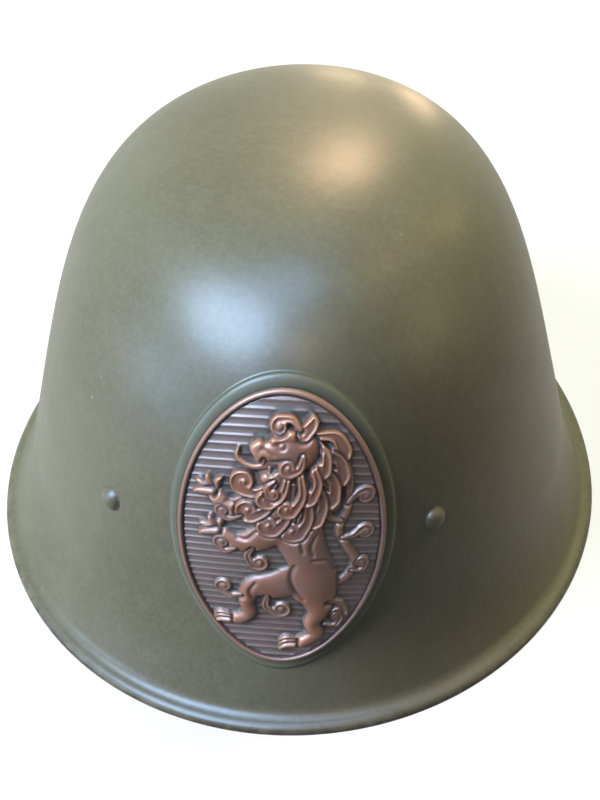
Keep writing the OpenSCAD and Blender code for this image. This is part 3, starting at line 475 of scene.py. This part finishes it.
def softened(values, reach):
    """Each value as the mean of its neighbours along both ways, weighed by a bell curve."""
    bell = np.exp(-0.5 * (np.arange(-3 * reach, 3 * reach + 1) / reach)**2)
    for axis in (0, 1):
        wide = np.pad(values, [(3 * reach * (k == axis),) * 2 for k in (0, 1)], mode="edge")
        places = np.arange(values.shape[axis])
        values = sum(w * np.take(wide, places + k, axis) for k, w in enumerate(bell)) / bell.sum()
    return values


relief = softened(relief, 1)
hollow = relief - softened(relief, 5)
ground = front_point(BADGE_X + across, BADGE_Z + up, FIELD_LIFT + relief)
number = np.arange(ROWS * COLUMNS).reshape(ROWS, COLUMNS)
border = np.concatenate([number[0, :-1], number[:-1, -1], number[-1, :0:-1], number[:0:-1, 0]])
angles = np.arctan2(across.ravel()[border] / FIELD_WIDTH, up.ravel()[border] / FIELD_HEIGHT)
rim = np.array([
    [-1.85, 1.55], [-1.7, 1.6], [-1.6, 2.0], [-1.55, 2.6], [-1.4, 2.95], [-1.1, 3.1], [-0.7, 3.08],
    [-0.35, 2.9], [-0.1, 2.5], [0.0, 2.0], [0.0, 1.3], [-0.2, BADGE_FOOT], [-6, BADGE_FOOT],
    [-20, BADGE_FOOT]])
rings = badge_rings(*rim.T, angles)
count = len(border)
loops = np.concatenate([border[None], ROWS * COLUMNS + np.arange(len(rim) * count).reshape(-1, count)])
onward = np.roll(loops, -1, 1)
quads = np.concatenate([
    np.stack([number[:-1, :-1], number[:-1, 1:], number[1:, 1:], number[1:, :-1]], -1).reshape(-1, 4),
    np.stack([loops[:-1], loops[1:], onward[1:], onward[:-1]], -1).reshape(-1, 4)])
last = loops[-1]
fan = np.stack([np.full(count, ROWS * COLUMNS + len(rim) * count), onward[-1], last], -1)
points = np.concatenate([ground.reshape(-1, 3), rings.reshape(-1, 3), rings[-1].mean(0)[None]])
rim_hollow = np.interp(rim[:, 0], [-1.75, -1.5, -0.9, -0.2, 0], [-0.6, 0.1, 0.5, 0.3, -0.1])
badge = mesh_piece("badge_relief", points, quads, fan, "helmet",
                   raised=np.concatenate([relief.ravel(), np.repeat(rim[:, 1] - FIELD_LIFT, count), [0]]),
                   hollow=np.concatenate([hollow.ravel(), np.repeat(rim_hollow, count), [0]]))

# Cast bronze with a brown patina: dull in the hollows, where dirt has gone green, and rubbed bright on the
# edges. Its pits of 0.5 mm are coarser than real ones, to show at all from here.
bronze, tree, shader, place = finish("worn_patinated_bronze")
raised, hollow = (add(tree, "Attribute", attribute_name=key).outputs["Fac"] for key in ("raised", "hollow"))
high = add(tree, "MapRange", {"Value": raised, "From Min": 0.1, "From Max": 1.9})
worn = add(tree, "MapRange", {"Value": hollow, "From Min": 0.16, "From Max": 0.7})
sunk = add(tree, "MapRange", {"Value": hollow, "From Min": -0.04, "From Max": -0.45})
tone = coat(tree, "#6b6058", "#835a42", high)
tone = coat(tree, tone, "#796862", spots(tree, place, 9, 0.4, 0.65, 4), 0.5)
tone = coat(tree, tone, "#ab8263", worn, 0.6)
tone = coat(tree, tone, "#382c27", sunk, 0.85)
tone = coat(tree, tone, "#5d5e50", sunk, spots(tree, place, 3, 0.42, 0.6, 3), 0.6)
rough = add(tree, "MapRange", {"Value": sunk, "To Min": 0.45, "To Max": 0.75})
feed(tree, shader, {"Base Color": tone, "Roughness": rough, "Metallic": 0.25, "Specular IOR Level": 0.3,
                    "Normal": bumps(tree, place, 0.5, 0.25, 0.0001, Detail=3.0)})
badge.data.materials.append(bronze)
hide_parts("front_badge")

# Shell rivets: three solid domed rivets, set before painting, so that a fillet of paint rings each head.
# Their tails are hammered over the burr washers inside. Each stands straight ahead of one of the 48 flats of
# the liner's hoop, counted from the front, and the hoop hangs a gap inside the shell, level with the rivets.
RIVETS, RIVET_Z = {"right": -5, "left": 5, "rear": 24}, 67
FLAT, LINER_GAP = math.pi / 24, 8
rivet_outline = np.array([
    [0.05, 2.3], [0.9, 2.26], [1.7, 2.1], [2.4, 1.8], [3.0, 1.38], [3.45, 0.9], [3.72, 0.5], [3.9, 0.24],
    [4.15, 0.07], [4.5, -0.05], [4.7, -0.4], [2.0, -0.5], [2.0, -5.3], [3.2, -5.35], [3.2, -6.1],
    [2.9, -6.35], [0.05, -6.4]])
FILLET = (3.8, 4.6)


def turned(name, outline, at, axis, body):
    """An outline of [radius, height] spun round an axis: at + height n + radius (u cos a + v sin a)."""
    n = np.array(axis, float) / np.linalg.norm(axis)
    u = np.cross(n, [0.1, 0.2, 1.0])
    u /= np.linalg.norm(u)
    v = np.cross(n, u)
    a = circle(48)[:, None]
    radius, height = outline[:, 0, None, None], outline[:, 1, None, None]
    rings = np.array(at) + height * n + radius * (np.cos(a) * u + np.sin(a) * v)
    # The paint fillet at the foot of the head is darkened by half: painted shade, a dark ring round the dome.
    fillet_shade = 0.5 * ((radius > FILLET[0]) & (radius < FILLET[1]))[..., 0]
    return skin(name, rings, body, inside=np.zeros(rings.shape[:2]), grime=fillet_shade + 0 * rings[..., 0])


def rivet_station(azimuth):
    """The station at which the shell has the rivets' height, at an azimuth."""
    return halved(0.0, 3.0, lambda station: shell_point(azimuth, station)[..., 2] > RIVET_Z)


def hoop_reach(azimuth):
    """The hoop's half axis at an azimuth: the reach of the shell's inside from the ears, less the gap."""
    inside = shell_point(azimuth, rivet_station(azimuth), -SHELL_WALL)
    return math.hypot(inside[0], inside[1] - EAR_Y) - LINER_GAP


HOOP_SIDE, HOOP_FRONT, HOOP_REAR = hoop_reach(math.pi / 2), hoop_reach(0.0), hoop_reach(math.pi)


def oval(heading, inset):
    """The point of an oval, with half axes b across and a ahead or behind, that faces a heading, moved in by
    inset: b^2 sin h / k and a^2 cos h / k, where k^2 is b^2 sin^2 h + a^2 cos^2 h."""
    s, c = np.sin(heading), np.cos(heading)
    a = np.where(c > 0, HOOP_FRONT, HOOP_REAR)
    k = np.hypot(HOOP_SIDE * s, a * c)
    x, y = HOOP_SIDE**2 * s / k - inset * s, EAR_Y - a**2 * c / k + inset * c
    return np.stack(np.broadcast_arrays(x, y), -1)


def flat_of_hoop(number):
    """The middle of a flat, and its direction outwards: the chord between its ends, turned by 90 degrees."""
    before, after = oval((number - 0.5) * FLAT, 0.0), oval((number + 0.5) * FLAT, 0.0)
    out = np.array([after[1] - before[1], before[0] - after[0]])
    return (before + after) / 2, out / np.linalg.norm(out)


def rivet_place(number):
    """The shell's point straight ahead of a flat, found by halving, and the shell's normal there, less its
    part along the flat."""
    middle, out = flat_of_hoop(number)

    def short_of_it(azimuth):
        x, y = shell_point(azimuth, rivet_station(azimuth))[:2] - middle
        return out[0] * y < out[1] * x

    azimuth = halved((number - 3) * FLAT, (number + 3) * FLAT, short_of_it)
    station = rivet_station(azimuth)
    normal = shell_normal(azimuth, station)
    return shell_point(azimuth, station), [*(normal[:2] @ out * out), normal[2]]


for side, number in RIVETS.items():
    rivet = turned("shell_rivet_" + side, rivet_outline, *rivet_place(number), "helmet")
    rivet.data.materials.append(olive_paint)
    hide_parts("liner_rivet_" + side)

# Hoop and its fittings: cold-rolled spring steel left bare, so it is grey with a film of oil and freckles of
# rust. The tabs, hangers and washers are the same steel.
HOOP_DROP, HOOP_WALL, HOOP_HALF, SEATED = 18, 0.8, 10, 0.02
HOOP_Z = RIVET_Z - HOOP_DROP


def band(name, insets, heights, body="helmet"):
    """A closed band round the head: a loop of [inset, height] carried along the oval."""
    heading = circle(COLUMNS_ROUND)
    insets, heights = (np.broadcast_to(v, (len(heights), COLUMNS_ROUND)) for v in (insets, heights))
    return skin(name, np.concatenate([oval(heading, insets), heights[..., None]], -1), body, closed=True)


def steel(name, code, rust, roughness):
    """Bare steel: a metal of one tone with a fine grain, and rust in freckles. The grain of 0.4 mm is coarser
    than the real one, to show at all from here."""
    made, tree, shader, place = finish(name)
    freckles = add(tree, "Math", {0: spots(tree, place, 4, 0.52, 0.66, 5), 1: rust}, operation="MULTIPLY")
    tone = coat(tree, code, "#8b8a84", spots(tree, place, 16, 0.35, 0.7, 3))
    tone = coat(tree, tone, "#5a3a22", freckles)
    rough = add(tree, "MapRange", {"Value": freckles, "To Min": roughness, "To Max": 0.85})
    feed(tree, shader, {"Base Color": tone, "Roughness": rough, "Metallic": 0.9,
                        "Normal": bumps(tree, place, 0.4, 0.15, 0.0001, Detail=2.0)})
    return made


def give(material, *nodes):
    """Gives a material to every slot of some of the frame's own nodes."""
    for node in nodes:
        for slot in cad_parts[node].material_slots:
            slot.material = material


spring_steel = steel("oiled_spring_steel", "#77766f", 0.8, 0.42)
give(spring_steel, "liner_tab_right", "liner_tab_left", "liner_tab_rear", "strap_hanger_right",
     "strap_hanger_left", "spacer_washers", "burr_washers", "badge_washers")
around = circle(24)
hoop = band("hoop_band", HOOP_WALL / 2 * (1 + np.clip(1.6 * np.cos(around), -1, 1)[:, None]),
            HOOP_Z + HOOP_HALF * np.clip(1.03 * np.sin(around), -1, 1)[:, None])
hoop.data.materials.append(spring_steel)
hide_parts("liner_hoop")

# Felt: a strip of grey-brown wool felt glued behind the leather, pressed thin at each of the twelve rivets
# and full between them. Its fibres lie every way and stand off it, so it has no shine and a light down.
felt_profile = circle(40)[:, None]
heading = circle(COLUMNS_ROUND)[None]
RIVETS_ROUND, FIRST_RIVET, DENT = 12, math.radians(15), 0.05
FELT, FELT_HALF, FELT_WAVE = 3, 13.8, 0.15
from_rivet = np.angle(np.exp(1j * RIVETS_ROUND * (heading - FIRST_RIVET))) / RIVETS_ROUND
full = 1 - 0.22 * np.exp(-(from_rivet / DENT)**2)
felt = band(
    "felt_strip",
    HOOP_WALL + SEATED + FELT / 2 + (FELT / 2 - SEATED) * full * np.clip(1.4 * np.cos(felt_profile), -1, 1),
    HOOP_Z + (FELT_HALF + FELT_WAVE * np.sin(9 * heading)) * np.clip(1.06 * np.sin(felt_profile), -1, 1))
# The fibres are drawn at 0.7 mm, many times their real thickness, to show at all from here.
wool, tree, shader, place = finish("grey_wool_felt")
tone = coat(tree, "#544d40", "#6f6757", spots(tree, place, 5, 0.3, 0.7, 5))
tone = coat(tree, tone, "#938a76", spots(tree, place, 0.8, 0.5, 0.75, 2), 0.5)
feed(tree, shader, {"Base Color": tone, "Roughness": 0.95, "Sheen Weight": 0.3, "Sheen Roughness": 0.6,
                    "Normal": bumps(tree, place, 0.7, 0.8, 0.0005, Detail=5.0, Distortion=1.5)})
felt.data.materials.append(wool)
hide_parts("felt_band")

# Tongue leather: one length of vegetable-tanned leather round the head, its upper edge cut into eight
# tongues that curve in over the crown. Each tongue's end is punched for a tie.
TONGUES, FOOT, ROOT, RISE, REACH = 8, HOOP_Z - 10, HOOP_Z + 15.5, 45.4, 0.27
LEATHER, HOLE = 1.2, 2.6
TONGUE_INSET = HOOP_WALL + SEATED + FELT + SEATED + LEATHER / 2


def leather(name, grid, wall, body, kept=None, round_columns=False, **attributes):
    """A cut sheet: the middle surface on a grid, less the cells that aren't kept, with a wall round it."""
    rows, columns = grid.shape[:2]
    quads = grid_quads(rows, columns, round_columns=round_columns)
    quads = quads[kept] if kept is not None else quads.reshape(-1, 4)
    used, quads = np.unique(quads, return_inverse=True)
    piece = mesh_piece(name, grid.reshape(-1, 3)[used], quads.reshape(-1, 4), [], body,
                       **{k: v.ravel()[used] for k, v in attributes.items()})
    wall_maker = piece.modifiers.new("wall", "SOLIDIFY")
    wall_maker.thickness, wall_maker.offset, wall_maker.use_even_offset = wall * MM, 0, True
    smooth = piece.modifiers.new("smooth", "SUBSURF")
    smooth.levels = smooth.render_levels = 1
    return piece


CREASE = 6


def hide(name, dark, light, grain, edge_tone, roughness):
    """Leather: two tones in clouds, a grain of small cells, creases, and a darker cut edge. The cells are
    drawn two or three times as large as real ones, to show at all from here."""
    made, tree, shader, place = finish(name)
    edge = add(tree, "Attribute", attribute_name="edge").outputs["Fac"]
    tone = coat(tree, dark, light, spots(tree, place, 18, 0.3, 0.7, 5))
    tone = coat(tree, tone, edge_tone, spots(tree, place, 3, 0.55, 0.75, 4), 0.4)
    tone = coat(tree, tone, edge_tone, edge, 0.7)
    cells = add(tree, "TexVoronoi", {"Vector": place, "Scale": 1000 / grain}, feature="F2")
    creases = add(tree, "TexNoise", {
        "Vector": place, "Scale": 1000 / CREASE, "Detail": 6.0, "Distortion": 2.0})
    relief = add(tree, "Math", {0: cells, 1: creases}, operation="ADD")
    relief = add(tree, "Math", {0: relief, 1: 0.5}, operation="MULTIPLY", use_clamp=True)
    bump = add(tree, "Bump", {"Height": relief, "Strength": 0.5, "Distance": 0.0003})
    rough = add(tree, "MapRange", {"Value": creases, "To Min": roughness - 0.1, "To Max": roughness + 0.1})
    feed(tree, shader, {"Base Color": tone, "Roughness": rough, "Normal": bump})
    return made


# Vegetable-tanned leather: matt and warm brown, darker where a head has rested and along its cut edges.
liner_hide = hide("vegetable_tanned_leather", "#5f3d24", "#7d5535", 0.9, "#3a2414", 0.62)
# A tongue tapers to its end, whose last part is rounded off and whose middle stands out in a bow.
# Its share is how much of its place round the head it fills, and the rest is the cut between two.
TAPER, TIP, TIP_TAPER, BOW, SHARE = 0.16, 0.14, 0.5, 0.05, 0.96
PER_TONGUE, FOOT_ROWS, TONGUE_ROWS, TIE_ROW = 30, 6, 46, 5
place_in = (np.arange(TONGUES * PER_TONGUE) % PER_TONGUE + 0.5) / PER_TONGUE * 2 - 1
centre = (np.arange(TONGUES * PER_TONGUE) // PER_TONGUE + 0.5) / TONGUES * 2 * math.pi - FLAT / 2
rise_t = np.linspace(0, 1, TONGUE_ROWS)[:, None]
taper = 1 - TAPER * rise_t - TIP_TAPER * np.clip((rise_t - 1 + TIP) / TIP, 0, 1)**2
end_t = rise_t * (1 - BOW * place_in**2)
heading = centre + place_in * math.pi / TONGUES * SHARE * taper
reach = 1 - (1 - REACH) * (1 - np.cos(end_t * math.pi / 2))
flat = oval(centre + place_in * math.pi / TONGUES, TONGUE_INSET)
foot_z = np.repeat(np.linspace(FOOT, ROOT, FOOT_ROWS)[:, None, None], len(flat), 1)
foot = np.concatenate([np.broadcast_to(flat, (FOOT_ROWS, *flat.shape)), foot_z], -1)
bent = oval(heading, TONGUE_INSET)
tongue = np.stack([bent[..., 0] * reach, EAR_Y + (bent[..., 1] - EAR_Y) * reach,
                   ROOT + RISE * np.sin(end_t * math.pi / 2)], -1)
blend_in = np.clip(rise_t * 6, 0, 1)[..., None]
start = np.stack([flat[:, 0] * reach, EAR_Y + (flat[:, 1] - EAR_Y) * reach, tongue[..., 2]], -1)
grid = np.concatenate([foot, (start + (tongue - start) * blend_in)[1:]])
rows, columns = grid.shape[:2]
row, column = np.meshgrid(np.arange(rows - 1), np.arange(columns), indexing="ij")
kept = (row < FOOT_ROWS - 1) | (column % PER_TONGUE != PER_TONGUE - 1)
middle = (grid[:-1] + grid[1:]) / 2
tie = grid[rows - TIE_ROW, PER_TONGUE // 2::PER_TONGUE]
hole = np.linalg.norm(middle[:, :, None] - tie, axis=-1).min(-1) < HOLE - 0.4
kept &= ~hole
# The corners round each hole are moved out to a circle.
corners = np.zeros((rows, columns), int)
for down, beside in ((0, 0), (0, 1), (1, 0), (1, 1)):
    corners[row + down, (column + beside) % columns] += hole
ring = (corners > 0) & (corners < 4)
apart = grid[ring][:, None] - tie
apart = apart[np.arange(len(apart)), np.linalg.norm(apart, axis=-1).argmin(1)]
grid[ring] += apart * (HOLE / np.linalg.norm(apart, axis=-1, keepdims=True) - 1)
level = np.arange(rows)[:, None]
cut_edge = (np.abs(place_in) > 0.88) & (level >= FOOT_ROWS) | (level > rows - 3)
tongues = leather("tongue_leather_cut", grid, LEATHER, "helmet", kept, True, edge=cut_edge.astype(float))
tongues.data.materials.append(liner_hide)
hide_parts("tongue_leather")

# Sweatband: a strip of the same hide in front of the tongues, handled dark, smooth and a little shiny.
# Its upper edge waves by a third of a millimetre, as a worn strip does.
SWEAT_INSET, SWEAT_Z, SWEAT_HALF, WAVE = TONGUE_INSET + LEATHER + SEATED, HOOP_Z - 2, 17, 0.35
heading = circle(COLUMNS_ROUND)[None]
loop = circle(32)[:, None]
half = SWEAT_HALF - WAVE + WAVE * np.sin(7 * heading) * (np.sin(loop) > 0)
sweat = band("sweatband_strip", SWEAT_INSET + 0.56 * np.clip(1.5 * np.cos(loop), -1, 1),
             SWEAT_Z + half * np.clip(1.05 * np.sin(loop), -1, 1))
sweat.data.materials.append(hide("worn_sweatband_leather", "#4e3220", "#6d492e", 0.8, "#2c1c11", 0.5))
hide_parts("sweatband")

# Small rivets: hollow brass rivets through the band, the tabs, the hangers and the straps.
# Old brass is dull yellow, browned in patches and green where sweat got at it.
brass, tree, shader, place = finish("dull_brass")
tone = coat(tree, "#8f7747", "#6b5a38", spots(tree, place, 2.5, 0.35, 0.7, 4))
tone = coat(tree, tone, "#3f4a38", spots(tree, place, 1.2, 0.58, 0.7, 4), 0.6)
feed(tree, shader, {"Base Color": tone, "Roughness": spots(tree, place, 1.5, -0.4, 1.4, 2), "Metallic": 0.95})
give(brass, "sweatband_rivets", "tab_rivets", "hanger_rivets", "strap_rivet_long", "strap_rivet_short",
     "buckle_rivet")

# Wire loops and buckle: bent round wire with the joint closed, nickelled once and now worn grey-yellow.
# The roller is a tube on the buckle's front bar, and the keeper is a folded strip.
wire = steel("worn_nickelled_wire", "#8c8778", 0.5, 0.34)
give(wire, "strap_loop_right", "strap_loop_left", "buckle_frame", "buckle_prong", "buckle_roller",
     "strap_keeper")

# Chin strap: two straps of bridle leather, each folded round its wire loop and riveted to itself.
# The buckle half lies under the wearer's left side and the long half, turned back, under the right.
# The loops hang from hangers on the hoop's flats at the ears, a quarter of the way round.
WIDTH, THICK, WIRE, BAR_Z, HANGER = 18, 1.6, 2.4, 23, 1
PLAY, LAP, SPREAD, BEND = 0.1, 15, 8, 18
DOUBLE = THICK + 2 * SEATED
FOLD = WIRE / 2 + PLAY + THICK / 2
BAR = np.array([0.0, BAR_Z])
BAR_OFF = SEATED + HANGER + WIRE / 2 + PLAY
EAR, OUT = flat_of_hoop(12)
SLOPE = math.sqrt(0.5)
FALL, CLIMB = np.array([SLOPE, -SLOPE]), np.array([SLOPE, SLOPE])


def arc(centre, radius, first, last, count):
    """Points of a circle from one angle to another, in degrees."""
    a = np.radians(np.linspace(first, last, count))[:, None]
    return np.asarray(centre) + radius * np.concatenate([np.cos(a), np.sin(a)], 1)


def eased(u):
    """A smooth step: u^2 (3 - 2u)."""
    return u * u * (3 - 2 * u)


def loop_end(lay):
    """From the riveted end, round the bar, down the slope and out level at a height."""
    k = np.linspace(0, 1, 10)[:, None]
    apart = DOUBLE - FOLD + (2 * FOLD - DOUBLE) * eased(k)
    drop = BAR_Z - FOLD * SLOPE - lay - BEND * (1 - SLOPE)
    slope_end = BAR - FOLD * CLIMB + FALL * drop / SLOPE
    return np.concatenate([
        [BAR + LAP * FALL + (DOUBLE - FOLD) * CLIMB], BAR + (1 - 0.94 * k) * SPREAD * FALL + apart * CLIMB,
        arc(BAR, FOLD, 45, 225, 16), arc(slope_end + BEND * CLIMB, BEND, 225, 270, 14)])


def even(path, step):
    """A path resampled to even steps."""
    far = np.concatenate([[0], np.cumsum(np.linalg.norm(np.diff(path, axis=0), axis=1))])
    along = np.linspace(0, far[-1], int(far[-1] / step) + 1)
    return np.stack([np.interp(along, far, path[:, i]) for i in (0, 1)], -1), along


def strap(name, path, side, body, tip, holes, slots):
    """A strap: a path in the plane through the ears, carried across its width, and pointed at its end if it
    has a tip. Holes are [reach, height of the layer above, radius]; slots are [from, to, half width]."""
    path, along = even(path, 0.75)
    half = np.full(len(path), WIDTH / 2)
    if tip:
        half = np.minimum(half, 2.5 + np.sqrt(np.clip((along[-1] - along) * 6.5, 0, None)))
    y = np.linspace(-1, 1, 25) * half[:, None]
    x, z = path[:, :1] + 0 * y, path[:, 1:] + 0 * y
    for hole, above, radius in holes:
        far = np.hypot(x - hole, y)
        pull = np.where((np.abs(far - radius) < 0.42) & (z > above), radius / np.maximum(far, 0.1), 1)
        x, y = hole + (x - hole) * pull, y * pull
    off = BAR_OFF - x
    grid = np.stack([side * (EAR[0] + off * OUT[0]), EAR[1] + y + off * OUT[1], z], -1)
    x, y_middle, z = ((v[1:, 1:] + v[:-1, :-1] + v[1:, :-1] + v[:-1, 1:]) / 4 for v in (x, y, z))
    kept = np.ones(x.shape, bool)
    for hole, above, radius in holes:
        kept &= (np.hypot(x - hole, y_middle) > radius) | (z < above)
    for first, last, wide in slots:
        kept &= (np.abs(y_middle) > wide) | (x < first) | (x > last)
    cut_edge = (np.abs(y) > half[:, None] - 1.1) | (along[:, None] > along[-1] - 1)
    return leather(name, grid, THICK, body, kept, edge=cut_edge.astype(float))


# Bridle leather: dressed with oil and wax, so it is dark, smooth and slightly shiny, with dark edges.
bridle = hide("oiled_bridle_leather", "#3d2617", "#563720", 0.7, "#22140b", 0.48)
SHORT, SHORT_LAY, LONG_LAY, TURN, TURN_TAPER, BACK, HOLE_PITCH = 60, 1.8, THICK / 2, 3, 28, 56, 9
BUCKLE, BUCKLE_WIRE, ROLLER, STRAP_GAP, BUCKLE_TAPER, SHORT_BACK = 17, 2.2, 3.8, 3.4, 8, 17
LONG = 2 * (EAR[0] + BAR_OFF) - SHORT - BUCKLE - ROLLER / 2 - STRAP_GAP - TURN - THICK / 2
u = np.linspace(0, 1, 20)[1:, None]
long_path = np.concatenate([
    loop_end(LONG_LAY), arc([LONG, LONG_LAY + TURN], TURN, -90, 90, 16),
    np.hstack([LONG - TURN_TAPER * u, LONG_LAY + 2 * TURN - (2 * TURN - DOUBLE) * eased(u)]),
    [[LONG - BACK, LONG_LAY + DOUBLE]]])
holes = [(LONG - BACK + HOLE_PITCH * (1 + k), LONG_LAY + 0.9, 1.5) for k in range(4)]
long_half = strap("strap_long_half", long_path, -1, "strap_long", True, holes, [])
long_half.data.materials.append(bridle)
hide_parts("strap_long")
ROLL = BUCKLE_WIRE / 2 + PLAY + THICK / 2
short_path = np.concatenate([
    loop_end(SHORT_LAY), arc([SHORT, SHORT_LAY + ROLL], ROLL, -90, 90, 16),
    np.hstack([SHORT - BUCKLE_TAPER * u, SHORT_LAY + 2 * ROLL - (2 * ROLL - DOUBLE) * eased(u)]),
    [[SHORT - SHORT_BACK, SHORT_LAY + DOUBLE]]])
prong_slot = (SHORT - 6.5, SHORT + 5, 1.9)
short_half = strap("strap_short_half", short_path, 1, "strap_short", False, [], [prong_slot])
short_half.data.materials.append(bridle)
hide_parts("strap_short")

# Studio: a white floor and backdrop. The white is for the camera, for gloss and for what shows through
# glass. The helmet's matt surfaces are lit by the lamps, and its inside also by a glowing patch of floor
# under it, so that their colours stay as written.
floor_mesh = bpy.data.meshes.new("floor")
floor_mesh.from_pydata([(-4, -4, 0), (4, -4, 0), (4, 4, 0), (-4, 4, 0)], [], [(0, 1, 2, 3)])
floor = bpy.data.objects.new("floor", floor_mesh)
bpy.context.scene.collection.objects.link(floor)
floor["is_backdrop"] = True


def rays(tree):
    """The kinds of ray, and 1 for those that see the white: from the camera, off gloss and through glass."""
    kinds = add(tree, "LightPath").outputs
    white = kinds["Is Camera Ray"]
    for more in ("Is Glossy Ray", "Is Transmission Ray"):
        white = add(tree, "Math", {0: white, 1: kinds[more]}, operation="ADD", use_clamp=True)
    return kinds, white


# Matt white board: it takes the helmet's shadow, and glows more with distance, so that its far edge is as
# white as the backdrop. Under the helmet it lights the liner. From below it is clear, so the inside shows.
floor_white = bpy.data.materials.new("white_floor")
floor_white.use_nodes = True
tree = floor_white.node_tree
tree.nodes.remove(tree.nodes["Principled BSDF"])
kinds, direct = rays(tree)
pale = add(tree, "MapRange", {"Value": kinds["Is Camera Ray"], "To Min": 0.08, "To Max": 0.3})
matte = add(tree, "BsdfDiffuse", {"Color": pale})
spot = add(tree, "TexCoord").outputs["Object"]
away = add(tree, "VectorMath", {0: spot}, operation="LENGTH").outputs["Value"]
NEAR, FAR, UNDER_FROM, UNDER_TO = 0.3, 1.5, 0.117, 0.112
white = add(tree, "MapRange", {
    "Value": away, "From Min": NEAR, "From Max": FAR, "To Min": 0.68, "To Max": 1.0})
white = add(tree, "Math", {0: direct, 1: white}, operation="MULTIPLY")
under = add(tree, "MapRange", {"Value": away, "From Min": UNDER_FROM, "From Max": UNDER_TO, "To Max": 2.0})
under = add(tree, "Math", {0: under, 1: kinds["Is Diffuse Ray"]}, operation="MULTIPLY")
glow = add(tree, "Emission", {"Strength": add(tree, "Math", {0: under, 1: white})})
both = add(tree, "AddShader", {0: matte, 1: glow})
back = add(tree, "NewGeometry").outputs["Backfacing"]
both = add(tree, "MixShader", {0: back, 1: both, 2: add(tree, "BsdfTransparent")})
feed(tree, tree.nodes["Material Output"], {"Surface": both})
floor_white.cycles.emission_sampling = "NONE"
floor_mesh.materials.append(floor_white)

world = bpy.data.worlds.new("studio")
bpy.context.scene.world = world
world.use_nodes = True
tree = world.node_tree
feed(tree, tree.nodes["Background"], {"Color": (1, 1, 1, 1), "Strength": rays(tree)[1]})

# Lamps: a cool window ahead on the left, its light spread overhead, and small warm lamps behind and on the
# right. The sky and the room light the matt surfaces, and the others show in the paint.
LOOK_AT = np.array([0, 0, 0.08])


def put(made, x, y, z, place):
    """Sets an object's axes and its place."""
    made.matrix_world = Matrix([[x[i], y[i], z[i], place[i]] for i in range(3)] + [[0, 0, 0, 1]])


def lamp(name, azimuth, elevation, distance, size, watts, code, shines=False):
    """A round lamp at a place round the helmet, turned to its middle: azimuth 0 is in front and 90 at +X. It
    either lights the matt surfaces or shines as a highlight, so that each can be set by itself."""
    a, e = math.radians(azimuth), math.radians(elevation)
    light = bpy.data.lights.new(name, "AREA")
    light.shape, light.size, light.size_y = "ELLIPSE", size[0], size[1]
    light.energy, light.color = watts, colour(code)[:3]
    made = bpy.data.objects.new(name, light)
    bpy.context.scene.collection.objects.link(made)
    away = np.array([math.sin(a) * math.cos(e), -math.cos(a) * math.cos(e), math.sin(e)])
    made.visible_diffuse, made.visible_glossy = not shines, shines
    x = np.cross([0, 0, 1], away)
    x /= np.linalg.norm(x)
    put(made, x, np.cross(away, x), away, away * distance + LOOK_AT)


lamp("sky_left", -60, 48, 1.2, (0.5, 0.5), 16.4, "#dddbff")
lamp("sky_low", -66, 8, 1.2, (0.6, 0.3), 22, "#d4e1ff")
lamp("room_right", 120, 45, 1.3, (0.4, 0.4), 9.6, "#ffdba1")
lamp("room_above", 180, 68, 1.3, (0.4, 0.4), 11.8, "#e0ffde")
lamp("window", -37, 50, 1.2, (0.88, 0.72), 84, "#afd2ff", shines=True)
lamp("window_top", 5, 76, 1.2, (0.5, 0.5), 12.5, "#99c5ff", shines=True)
lamp("window_low", -58, 9, 1.2, (0.9, 0.4), 10.5, "#a2caff", shines=True)
lamp("ceiling", 180, 68, 1.3, (0.4, 0.4), 3.0, "#fffbe7", shines=True)
lamp("lamp_behind", 172, 46, 1.3, (0.3, 0.3), 14.5, "#ffd1aa", shines=True)
lamp("lamp_low_behind", 168, 3, 1.4, (0.15, 0.15), 1.9, "#ffd4a8", shines=True)
lamp("lamp_high_behind", 180, 5, 1.5, (0.18, 0.18), 1.4, "#ffdcb2", shines=True)
lamp("lamp_right", 122, 28, 1.3, (0.25, 0.25), 1.6, "#ffe1a5", shines=True)
lamp("lamp_high_right", 88, 57, 1.3, (0.42, 0.42), 3, "#ffd5a3", shines=True)
lamp("lamp_low_right", 80, 20, 1.3, (0.5, 0.5), 2.8, "#ffeaaf", shines=True)
lamp("lamp_ahead", 14, 45, 1.2, (0.22, 0.22), 2.6, "#ffd3a3", shines=True)

# Camera: its place, turn and lens were fitted to the photo's silhouette of the shell.
# It stands 45 cm away, a little to the wearer's left of the front, and looks down by 42 degrees.
AZIMUTH, ELEVATION, ROLL = math.radians(5.819), math.radians(41.527), math.radians(-0.786)
DISTANCE, LOOK_Z, LENS, MIDDLE_X, FRAME = 448.79, 25.009, 1072.942, 300.777, (600, 800)
away = np.array([
    math.sin(AZIMUTH) * math.cos(ELEVATION), -math.cos(AZIMUTH) * math.cos(ELEVATION), math.sin(ELEVATION)])
level = np.cross(-away, [0, 0, 1])
level /= np.linalg.norm(level)
upright = np.cross(level, -away)
right = math.cos(ROLL) * level + math.sin(ROLL) * upright
upward = math.cos(ROLL) * upright - math.sin(ROLL) * level
view = bpy.data.cameras.new("photo_view")
view.sensor_width = 36
view.lens = LENS / FRAME[1] * view.sensor_width
view.shift_x = (FRAME[0] / 2 - MIDDLE_X) / FRAME[1]
view.clip_start = 0.01
camera = bpy.data.objects.new("photo_view", view)
bpy.context.scene.collection.objects.link(camera)
put(camera, right, upward, away, (away * DISTANCE + [0, 0, LOOK_Z]) * MM)
bpy.context.scene.camera = camera
bpy.context.scene.view_settings.view_transform = "Standard"

low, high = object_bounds()
